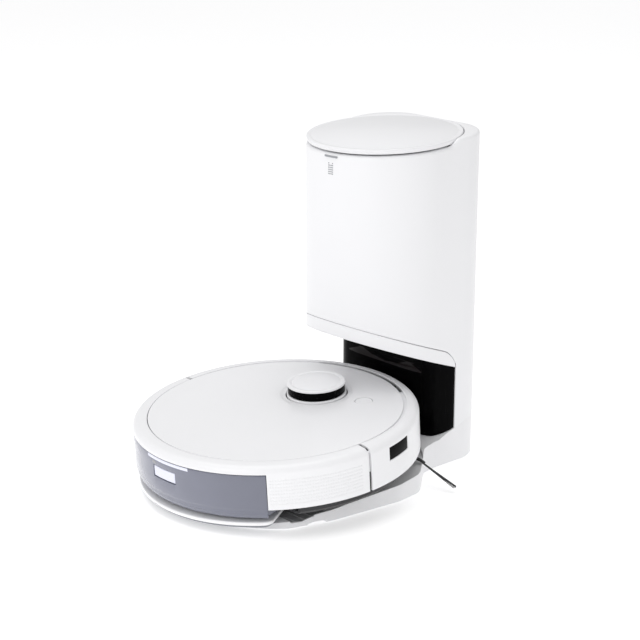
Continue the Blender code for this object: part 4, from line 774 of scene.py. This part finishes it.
def make_lid():
    r = TOWER_R
    top = STATION_H
    profile = [(0, top), (r - 0.0060, top), (r - 0.0056, top - 0.00025), (r - 0.0052, top)]
    profile += fillet((r - 0.0014, top - 0.0014), 0.0014, 90, 0, 6)
    profile += [(r, top - 0.0034), (r - 0.0003, top - 0.0038), (r - 0.0012, top - 0.0040),
                (r - 0.0012, top - 0.0046), (r - 0.0016, top - LID_T), (0, top - LID_T)]
    middle = Matrix.Translation((0, TOWER_Y, STATION_H))
    tip = middle @ Matrix.Rotation(LID_LEAN, 4, "X") @ middle.inverted()
    lid = turned("lid_disc", profile, STATION @ tip, (0, TOWER_Y), 200)
    finish(lid, "station_lid", "lid_white", ["lid"], sharp=40)


def make_visor():
    edge = 0.0022
    half = [p for p in tower_half() if p.y < SIDE_WALL_Y - 0.0006]
    ring = [Vector((-p.x, p.y)) for p in reversed(half) if abs(p.x) > 0.00001] + half
    centre = Vector((0, TOWER_Y))
    rows = []
    def row(inset, height):
        points = []
        for p in ring:
            away = (p - centre).normalized() if p.y < TOWER_Y else Vector((1 if p.x > 0 else -1, 0))
            at = p - away * inset
            points.append(Vector((at.x, at.y, height(p.y))))
        return points
    rows.append(row(0.0030, lambda y: seam_line(y) - SEAM))
    rows.append(row(0.0006, lambda y: seam_line(y) - SEAM))
    rows.append(row(0.0, lambda y: seam_line(y) - SEAM - 0.0006 * (seam_line(y) > underside(y) + 0.003)))
    rows.append(row(0.0, lambda y: (seam_line(y) + underside(y)) / 2))
    for a in (0, 22, 45, 68, 90):
        rows.append(row(edge * (1 - cos(radians(a))), lambda y,
                        a=a: underside(y) + edge * (1 - sin(radians(a)))))
    visor = grid("visor_skin", rows, STATION)
    bm = bmesh.new()
    bm.from_mesh(visor.data)
    rim = [STATION @ p for p in rows[-1]]
    bm.faces.new([bm.verts.new(p) for p in rim])
    bmesh.ops.remove_doubles(bm, verts=bm.verts, dist=0.00001)
    bmesh.ops.recalc_face_normals(bm, faces=bm.faces)
    bm.to_mesh(visor.data)
    bm.free()
    finish(visor, "station", "white_shell", ["visor_band"], sharp=40)


def make_column():
    """The black column under the overhang, with big round corners and a round lower edge."""
    half_width = TOWER_R - 0.0010
    half = [Vector((0, COLUMN_Y)), Vector((half_width * 0.25, COLUMN_Y + 0.0002)),
            Vector((half_width * 0.45, COLUMN_Y + 0.0008))]
    bend = Vector((half_width - COLUMN_CORNER, COLUMN_Y + COLUMN_CORNER))
    half += arc(bend, COLUMN_CORNER, -pi / 2, 0.0, 20)
    ring = [Vector((-p.x, p.y)) for p in reversed(half) if p.x > 0] + half
    rows = []
    spans = [underside(p.y) - 0.0006 - base_top(p.y) for p in ring]
    for share in (1.0, 0.75, 0.5, 0.25, 0.06):
        rows.append([Vector((p.x, p.y, base_top(p.y) + 0.0004 + span * share))
                     for p, span in zip(ring, spans)])
    for inset, drop in ((0.0, 0.0022), (0.0005, 0.0010), (0.0014, 0.0004), (0.0060, 0.0003)):
        rows.append([Vector((p.x - inset * (1 if p.x > 0.06 else -1 if p.x < -0.06 else 0), p.y + inset,
                             base_top(p.y) + drop)) for p in ring])
    column = grid("column_skin", rows, STATION)
    finish(thicken(column, 0.0026), "station", "black_gloss", ["column_front"])
    z0, z1 = 0.1180, 0.1290
    w = 0.0670
    strip = rounded_line([(0, z0), (w, z0), (w, z1), (0, z1)], [0, 0.003, 0.003, 0])
    outline = mirrored(strip)
    bm = bmesh.new()
    def depth(x):
        return COLUMN_Y + 0.0008 * min(1.0, abs(x) / (half_width * 0.45)) - 0.00015
    def bow(x):
        flat = half_width - COLUMN_CORNER
        if abs(x) < flat:
            return depth(x)
        return COLUMN_Y + COLUMN_CORNER - sqrt(COLUMN_CORNER ** 2 - (abs(x) - flat) ** 2) - 0.00015
    front = [bm.verts.new((p.x, bow(p.x), p.y)) for p in outline]
    back = [bm.verts.new((p.x, bow(p.x) + 0.0012, p.y)) for p in outline]
    count = len(outline)
    bm.faces.new(front)
    bm.faces.new(back)
    for i in range(count):
        bm.faces.new((front[i], front[(i + 1) % count], back[(i + 1) % count], back[i]))
    bmesh.ops.recalc_face_normals(bm, faces=bm.faces)
    finish(new_object("ir_strip", bm, STATION), "station", "ir_plastic", ["ir_window"])


def make_platform():
    r = 0.1480
    start = radians(-36.5)
    nose = arc((0, 0), r, -pi / 2, start, 30)
    wall = TOWER_R - 0.0005
    side = rounded_line([nose[-1], (0.1360, -0.0330), (0.1470, 0.0660), (0.1420, 0.1050), (0.1010, 0.1530),
                         (wall, 0.1750), (wall, 0.2200)], [0, 0.080, 0.050, 0.034, 0.020, 0.020, 0], 14)
    bend = Vector((wall - TOWER_CORNER, TOWER_BACK_Y - TOWER_CORNER))
    corner = arc(bend, TOWER_CORNER, 0.0, pi / 2, 20)
    half = nose[:-1] + side[:-1] + corner + [Vector((0, TOWER_BACK_Y))]
    platform = slab("dock_base", mirrored(half), 0.0014, 0.070)
    line = rounded_line([(-0.170, 0.0018)] + BASE_LINE,
                        [0, 0.10, 0.05, 0.02, 0.02, 0.014, 0.02, 0.03, 0.04, 0], 5)
    above = [Vector((-0.170, 0.100))] + line + [Vector((0.300, 0.100))]
    carve(platform, slab("above", above, -0.170, 0.170, None, True))
    bowl = [Vector((0.100, 0.110)), Vector((0.100, 0.0254)), Vector((0.178, 0.0307)),
            Vector((0.190, 0.110))]
    clearing = slab("clearing", bowl, -0.160, 0.160, None, True)
    carve(clearing, round_slab("circle", (0, 0), 0.1795, 0, 0.15, 200), "INTERSECT")
    carve(platform, clearing)
    carve(platform, brick("inlet", (-0.0787, 0.0363, 0.0030), (0.0787, 0.0675, 0.05)))
    for sign in (-1, 1):
        carve(platform, track_solid(f"track_bay_{sign}", sign, 0.0004, -0.0020, 0.012))
        carve(platform, brick(f"pin_well_{sign}", (sign * 0.045 - 0.0061, 0.1301, 0.0034),
                              (sign * 0.045 + 0.0061, 0.1493, 0.09)))
        carve(platform, brick(f"notch_{sign}", (sign * 0.132 - 0.008, -0.0650, 0.0),
                              (sign * 0.132 + 0.008, -0.0420, 0.0044)))
    platform.data.transform(STATION)
    finish(bevel(platform, 0.0010, 3, 40), "station", "white_shell", ["base_platform"], sharp=45)


def platform_top(y):
    if y >= -0.018:
        return RAISE + tan(TILT) * y - 0.0012
    top = RAISE + tan(TILT) * -0.018 - 0.0012
    return 0.0040 + (top - 0.0040) * (y + 0.148) / (-0.018 + 0.148)


TRACK_X = (0.0840, 0.1280)
TRACK_Y = (-0.0860, 0.0620)
BAY_X, BAY_Y, BAY_R = 0.1060, 0.0160, 0.0320


def track_outline(sign, grow):
    x0, x1 = TRACK_X[0] - grow, TRACK_X[1] + grow
    y0, y1 = TRACK_Y[0] - grow, TRACK_Y[1] + grow
    reach = BAY_R + grow
    bend = sqrt(reach ** 2 - (x1 - BAY_X) ** 2)
    angle = atan2(bend, x1 - BAY_X)
    points = [Vector((x0, y0)), Vector((x1 - 0.006, y0)), Vector((x1, y0 + 0.010))]
    points += arc((BAY_X, BAY_Y), reach, -angle, angle, 20)
    points += [Vector((x1 - 0.010, y1)), Vector((x0, y1))]
    return [Vector((sign * p.x, p.y)) for p in points]


def track_solid(name, sign, grow, low, high):
    body = slab(name, track_outline(sign, grow), 0.0, 0.060)
    start, end = TRACK_Y[0] - 0.010, TRACK_Y[1] + 0.010
    line = [(start, platform_top(start)), (-0.018, platform_top(-0.018)), (end, platform_top(end))]
    band = [Vector((y, z + low)) for y, z in line] + [Vector((y, z + high)) for y, z in reversed(line)]
    reach = (0.050, 0.170) if sign > 0 else (-0.170, -0.050)
    return carve(body, slab("band", band, *reach, None, True), "INTERSECT")


def make_tracks():
    for name, sign in (("left", -1), ("right", 1)):
        bed = track_solid(f"track_bed_{name}", sign, 0.0, -0.0016, -0.0007)
        ribs = []
        pitch = 0.0105
        y = TRACK_Y[0] + 0.004
        index = 0
        while y < TRACK_Y[1] - 0.002:
            x1 = TRACK_X[1] - 0.0012
            if abs(y - BAY_Y) < BAY_R and BAY_X + sqrt(BAY_R ** 2 - (y - BAY_Y) ** 2) > TRACK_X[1]:
                x1 = BAY_X + sqrt(BAY_R ** 2 - (y - BAY_Y) ** 2) - 0.0015
            if y < TRACK_Y[0] + 0.010:
                x1 -= 0.004
            z = platform_top(y)
            low, high = sorted((sign * (TRACK_X[0] + 0.0012), sign * x1))
            rib = brick(f"rib_{name}_{index}", (low, y - 0.0009, z - 0.0012),
                        (high, y + 0.0009, z - 0.0001))
            ribs.append(bevel(rib, 0.0004, 2))
            y += pitch
            index += 1
        track = join(f"track_{name}", [bed] + ribs)
        track.data.transform(STATION)
        finish(track, "station", "grey_plastic", [f"wheel_track_{name}"], sharp=40)


def make_marks():
    """The lamp bar and a small pad of dots under it."""
    r = TOWER_R + 0.00012
    turns = [asin(x / r) - pi / 2 for x in spread(-0.0024, 0.0178, 12)]
    bar = grid("status_lamp", [ring_at(r, turns, z, (0, TOWER_Y)) for z in (0.4042, 0.4018)], STATION)
    finish(bevel(thicken(bar, 0.0010), 0.0003, 2), "station", "lamp_grey", ["indicator_lamp"])
    bm = bmesh.new()
    for row in range(6):
        for column in range(4):
            if row == 0 and column in (1, 2):
                continue
            x = 0.0040 + column * 0.0021
            z = 0.3945 - row * 0.0026
            angle = asin(x / r)
            place = Matrix.Translation((r * sin(angle), TOWER_Y - r * cos(angle), z))
            turn = Matrix.Rotation(angle, 4, "Z") @ Matrix.Rotation(pi / 2, 4, "X")
            bmesh.ops.create_cone(bm, cap_ends=True, segments=16, radius1=0.00085, radius2=0.0007,
                                  depth=0.0004, matrix=place @ turn)
    finish(new_object("status_dots", bm, STATION), "station", "lamp_grey")


# ------------------------------------------------------------------ brushes
def tube(name, points, radii, matrix, sides=12):
    """A tapered tube through points."""
    rows = []
    total = len(points)
    for i, (p, radius) in enumerate(zip(points, radii)):
        ahead = points[min(i + 1, total - 1)] - points[max(i - 1, 0)]
        frame_turn = ahead.to_track_quat("Z", "Y").to_matrix()
        rows.append([p + frame_turn @ v for v in ring_at(radius, turn_angles(sides), 0)])
    rows.insert(0, [points[0]] * sides)
    rows.append([points[-1]] * sides)
    return grid(name, rows, matrix, closed=True)


def make_side_brushes():
    z = SIDE_BRUSH[2]
    for name, sign in (("left", -1), ("right", 1)):
        hub = Vector((sign * SIDE_BRUSH[0], SIDE_BRUSH[1], 0))
        arms, hairs = [], []
        profile = [(0.0, 0.0108), (0.0092, 0.0108), (0.0100, 0.0100), (0.0100, 0.0044), (0.0086, 0.0034),
                   (0.0, 0.0034)]
        arms.append(turned(f"hub_{name}", profile, STILL, hub.xy, 48))
        for i in range(3):
            turn = radians(10.0) + 2 * pi * i / 3
            turn = turn if sign > 0 else pi - turn
            out = Vector((cos(turn), sin(turn), 0))
            across = Vector((-sin(turn), cos(turn), 0))
            free = i == 0
            reach = ARM_REACH
            fall = 0.0040 if free else 0.0006
            line = [hub + out * distance + Vector((0, 0, z + 0.0006 - fall * (k / 8) ** 3))
                    for k, distance in enumerate(spread(0.004, reach, 8))]
            rows = []
            for k, p in enumerate(line):
                w = 0.0034 - 0.0010 * k / 8
                t = 0.0015
                rows.append([p + across * w * cos(a) + Vector((0, 0, t * sin(a)))
                             for a in turn_angles(16)])
            rows.insert(0, [line[0]] * 16)
            rows.append([line[-1] + out * 0.0008] * 16)
            arms.append(grid(f"arm_{name}_{i}", rows, STILL, closed=True))
            length = FREE_TUFT_LEN if free else TUFT_LEN
            droop = FREE_TUFT_DROOP if free else 0.0010
            for h in range(HAIRS):
                fan = ((h * 7) % HAIRS) / (HAIRS - 1) - 0.5
                lift = ((h * 5) % HAIRS) / (HAIRS - 1) - 0.5
                path, sizes = [], []
                for k in range(7):
                    share = k / 6
                    distance = reach - 0.003 + (length - reach + 0.002 - abs(fan) * 0.003) * share
                    height = z + 0.0003 - fall - droop * share + lift * 0.0012 * (0.4 + share)
                    side = fan * (0.0022 + 0.0036 * share ** 1.4)
                    path.append(hub + out * distance + across * side + Vector((0, 0, height)))
                    sizes.append(0.00028 - 0.00008 * share)
                hairs.append(tube(f"hair_{name}_{i}_{h}", path, sizes, STILL, 5))
        spinner = join(f"side_arms_{name}", arms)
        spinner.data.transform(ROBOT)
        finish(spinner, f"edge_brush_{name}", "dark_plastic", [f"side_brush_{name}"], sharp=40)
        tufts = join(f"side_tufts_{name}", hairs)
        tufts.data.transform(ROBOT)
        finish(tufts, f"edge_brush_{name}", "brush_fibre", [f"side_bristles_{name}"], sharp=60)


# ------------------------------------------------------------------ bag, wheels and roller
def axle_turned(name, profile, centre, steps=120, tread=None):
    """Spins (radius, x) points about a level axle through centre; tread(i, k) takes height off a point."""
    rows = []
    for k, (radius, x) in enumerate(profile):
        row = []
        for i, a in enumerate(turn_angles(steps)):
            reach = radius - (tread(i, k) if tread else 0)
            row.append(centre + Vector((x, reach * cos(a), reach * sin(a))))
        rows.append(row)
    rows.append(rows[0])
    return grid(name, rows, STILL, closed=True)


def middle_of(node):
    low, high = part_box(node)
    return (low + high) / 2, high - low


def make_bag():
    """A filled paper bag: pillow sides, a slack top, a fuller foot and soft creases."""
    middle, size = middle_of("dust_bag")
    half = size / 2
    around, up = 96, 60
    rows = []
    for r in range(up + 1):
        lift = -pi / 2 + pi * r / up
        z = sin(lift)
        ring = abs(cos(lift)) ** 0.42
        row = []
        for i in range(around):
            a = 2 * pi * i / around
            c, d = cos(a), sin(a)
            wide = (abs(c) ** 3.2 + abs(d) ** 3.2) ** (-1 / 3.2)
            x, y = c * wide * ring, d * wide * ring
            height = (abs(z) ** 0.62) * (1 if z > 0 else -1)
            crease = 0.030 * noise.noise(Vector((x * 2.1, y * 2.1, height * 3.4)) * 1.6)
            crease += 0.014 * noise.noise(Vector((x * 6.0, y * 6.0, height * 7.0)))
            slack = 0.93 - 0.05 * max(0.0, height) ** 2 + 0.03 * (height < 0) * abs(height)
            sag = 0.10 * (1 - ring) * (z > 0)
            shape = slack - abs(crease)
            tall = height * 0.97 - sag * 0.2 + crease * 0.5 * (abs(height) < 0.95)
            row.append(middle + Vector((x * half.x * shape, y * half.y * shape, half.z * tall)))
        rows.append(row)
    bag = grid("paper_bag", rows, STILL, closed=True)
    bag = finish(bag, "station", "bag_paper", ["dust_bag"], sharp=80)


def make_wheels():
    for name in ("left", "right"):
        body = f"drive_wheel_{name}"
        middle, size = middle_of(f"tyre_{name}")
        r, w = size.z / 2 - 0.0001, size.x / 2
        profile = [(r - 0.0060, -w), (r - 0.0022, -w), (r - 0.0006, -w + 0.0016), (r, -w + 0.0030),
                   (r, -w * 0.35), (r, 0.0), (r, w * 0.35), (r, w - 0.0030), (r - 0.0006, w - 0.0016),
                   (r - 0.0022, w), (r - 0.0060, w)]

        def tread(i, k):
            phase = (i + (3 if k > 5 else 0)) % 6
            return 0.0011 if 2 <= k <= 8 and phase in (0, 1) else 0.0
        tyre = axle_turned(f"tread_{name}", profile, middle, 144, tread)
        finish(bevel(tyre, 0.0002, 2, 40), body, "tyre_rubber", [f"tyre_{name}"], sharp=35)
        middle, size = middle_of(f"wheel_hub_{name}")
        r, w = size.z / 2, size.x / 2
        sign = 1 if name == "right" else -1
        disc = [(0.0046, -w), (r, -w), (r, w), (r - 0.0030, w), (r - 0.0042, w * 0.55), (0.0110, w * 0.45),
                (0.0096, w * 0.92), (0.0046, w * 0.92)]
        hub = axle_turned(f"hub_disc_{name}", [(radius, sign * x) for radius, x in disc], middle, 120)
        spokes = []
        for i in range(5):
            turn = Matrix.Translation(middle) @ Matrix.Rotation(2 * pi * i / 5, 4, "X")
            low, high = sorted((sign * w * 0.44, sign * w * 0.80))
            spokes.append(bevel(brick(f"spoke_{name}_{i}", (low, -0.0019, 0.0100),
                                      (high, 0.0019, r - 0.0035), turn), 0.0005))
        finish(join(f"wheel_disc_{name}", [bevel(hub, 0.0005, 2, 40)] + spokes), body, "grey_plastic",
               [f"wheel_hub_{name}"], sharp=40)


def make_roller():
    """The main brush: a core with six rubber blades in a chevron."""
    middle, size = middle_of("main_brush")
    half, r = size.x / 2, size.y / 2 - 0.0002
    blades, per = 6, 14
    rows = []
    for x in spread(-half, half, 60):
        twist = radians(46.0) * abs(x) / half
        fade = min(1.0, (half - abs(x)) / 0.004)
        row = []
        for i in range(blades * per):
            share = (i % per) / per
            tall = share in (0.0, 1 / per)
            low = r - 0.0062
            radius = low + (r - low) * fade if tall else low
            a = 2 * pi * (i // per + (share if not tall else share * 0.75)) / blades + twist
            row.append(middle + Vector((x, radius * cos(a), radius * sin(a))))
        rows.append(row)
    rows.insert(0, [middle + Vector((-half, 0, 0))] * (blades * per))
    rows.append([middle + Vector((half, 0, 0))] * (blades * per))
    brush = grid("roller_blades", rows, STILL, closed=True)
    finish(bevel(brush, 0.00025, 2, 50), "roller_brush", "rubber_dark", ["main_brush"], sharp=40)


def make_caster():
    middle, size = middle_of("caster_wheel")
    r, w = size.z / 2, size.x / 2
    profile = [(0.0020, -w), (r * 0.62, -w), (r * 0.66, -w * 0.8), (r * 0.86, -w * 0.8), (r, -w * 0.45)]
    profile += [(radius, -x) for radius, x in reversed(profile)]
    wheel = axle_turned("caster_tread", profile, middle, 96)
    finish(bevel(wheel, 0.0005, 3, 30), "caster_roller", "grey_plastic", ["caster_wheel"], sharp=40)


def make_filter():
    """Pleated media in a thin frame, standing in the bin."""
    own = ROBOT.inverted()
    low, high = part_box("dust_filter")
    middle = own @ ((low + high) / 2)
    half_x = (high.x - low.x) / 2
    half_y, half_z = 0.0055, 0.0130
    pleats = 26
    line = []
    for i in range(2 * pleats + 1):
        line.append((middle.x - half_x + 0.003 + (2 * half_x - 0.006) * i / (2 * pleats),
                     middle.y + (half_y - 0.0012) * (1 if i % 2 else -1)))
    rows = [[Vector((x, y, middle.z + z)) for x, y in line] for z in (half_z - 0.001, 0.001 - half_z)]
    media = grid("filter_pleats", rows, ROBOT)
    finish(thicken(media, 0.0005), "robot", "filter_media", ["dust_filter"], sharp=20)
    frame_bars = []
    for x0, x1, z0, z1 in ((-half_x, half_x, half_z - 0.002, half_z),
                           (-half_x, half_x, -half_z, -half_z + 0.002),
                           (-half_x, -half_x + 0.002, -half_z, half_z),
                           (half_x - 0.002, half_x, -half_z, half_z)):
        frame_bars.append(bevel(brick("bar", (middle.x + x0, middle.y - half_y, middle.z + z0),
                                      (middle.x + x1, middle.y + half_y, middle.z + z1)), 0.0004, 2))
    bars = join("filter_frame", frame_bars)
    bars.data.transform(ROBOT)
    finish(bars, "robot", "grey_plastic", sharp=40)


# ------------------------------------------------------------------ stage, lights and camera
def make_stage():
    bm = bmesh.new()
    bmesh.ops.create_grid(bm, x_segments=2, y_segments=2, size=6.0)
    floor = new_object("floor", bm, Matrix.Translation((0, 0, 0)))
    mat, _, shader = shader_nodes("floor_white")
    put(shader, Base_Color=(0.93, 0.93, 0.935, 1.0), Roughness=0.75, Specular_IOR_Level=0.2,
        Emission_Color=(1.0, 1.0, 1.0, 1.0), Emission_Strength=0.38)
    floor.data.materials.append(mat)


def area_light(name, location, target, size, power, colour=(1, 1, 1)):
    data = bpy.data.lights.new(name, "AREA")
    data.shape = "RECTANGLE"
    data.size, data.size_y = size
    data.energy = power
    data.color = colour
    light = bpy.data.objects.new(name, data)
    light.location = location
    light.rotation_euler = (Vector(target) - Vector(location)).to_track_quat("-Z", "Y").to_euler()
    bpy.context.scene.collection.objects.link(light)


def make_lights():
    world = bpy.data.worlds.new("studio")
    world.use_nodes = True
    put(world.node_tree.nodes["Background"], Color=(1.0, 1.0, 1.0, 1.0), Strength=0.62)
    bpy.context.scene.world = world
    area_light("key", (0.5, -2.3, 1.4), (0, 0, 0.15), (1.6, 1.6), 13.0)
    area_light("top", (-0.2, -0.2, 2.6), (0, 0, 0.1), (2.4, 2.4), 25.0)


def make_camera():
    azimuth, elevation, roll = radians(47.85), radians(16.893), radians(0.154)
    lens_mm, sensor_mm = 99.26803125, 36.0
    across, up_by, distance = 0.05011, 0.211072, 2.137245
    back = Vector((sin(azimuth) * cos(elevation), -cos(azimuth) * cos(elevation), sin(elevation)))
    level = Vector((cos(azimuth), sin(azimuth), 0))
    rise = back.cross(level)
    right = level * cos(roll) + rise * sin(roll)
    up = rise * cos(roll) - level * sin(roll)
    place = level * across + Vector((0, SHIFT, up_by)) + back * distance
    data = bpy.data.cameras.new("camera")
    data.sensor_width = sensor_mm
    data.lens = lens_mm
    data.clip_start = 0.05
    camera = bpy.data.objects.new("camera", data)
    turn = Matrix((right, up, back)).transposed().to_4x4()
    camera.matrix_world = Matrix.Translation(place) @ turn
    bpy.context.scene.collection.objects.link(camera)
    bpy.context.scene.camera = camera
    bpy.context.scene.view_settings.view_transform = "Standard"


paint_frame()
make_bumper()
make_rear_shell()
make_cover()
make_turret()
make_tank()
make_mop()
make_tower()
make_lid()
make_visor()
make_column()
make_platform()
make_tracks()
make_marks()
make_side_brushes()
make_bag()
make_wheels()
make_roller()
make_caster()
make_filter()
make_stage()
make_lights()
make_camera()
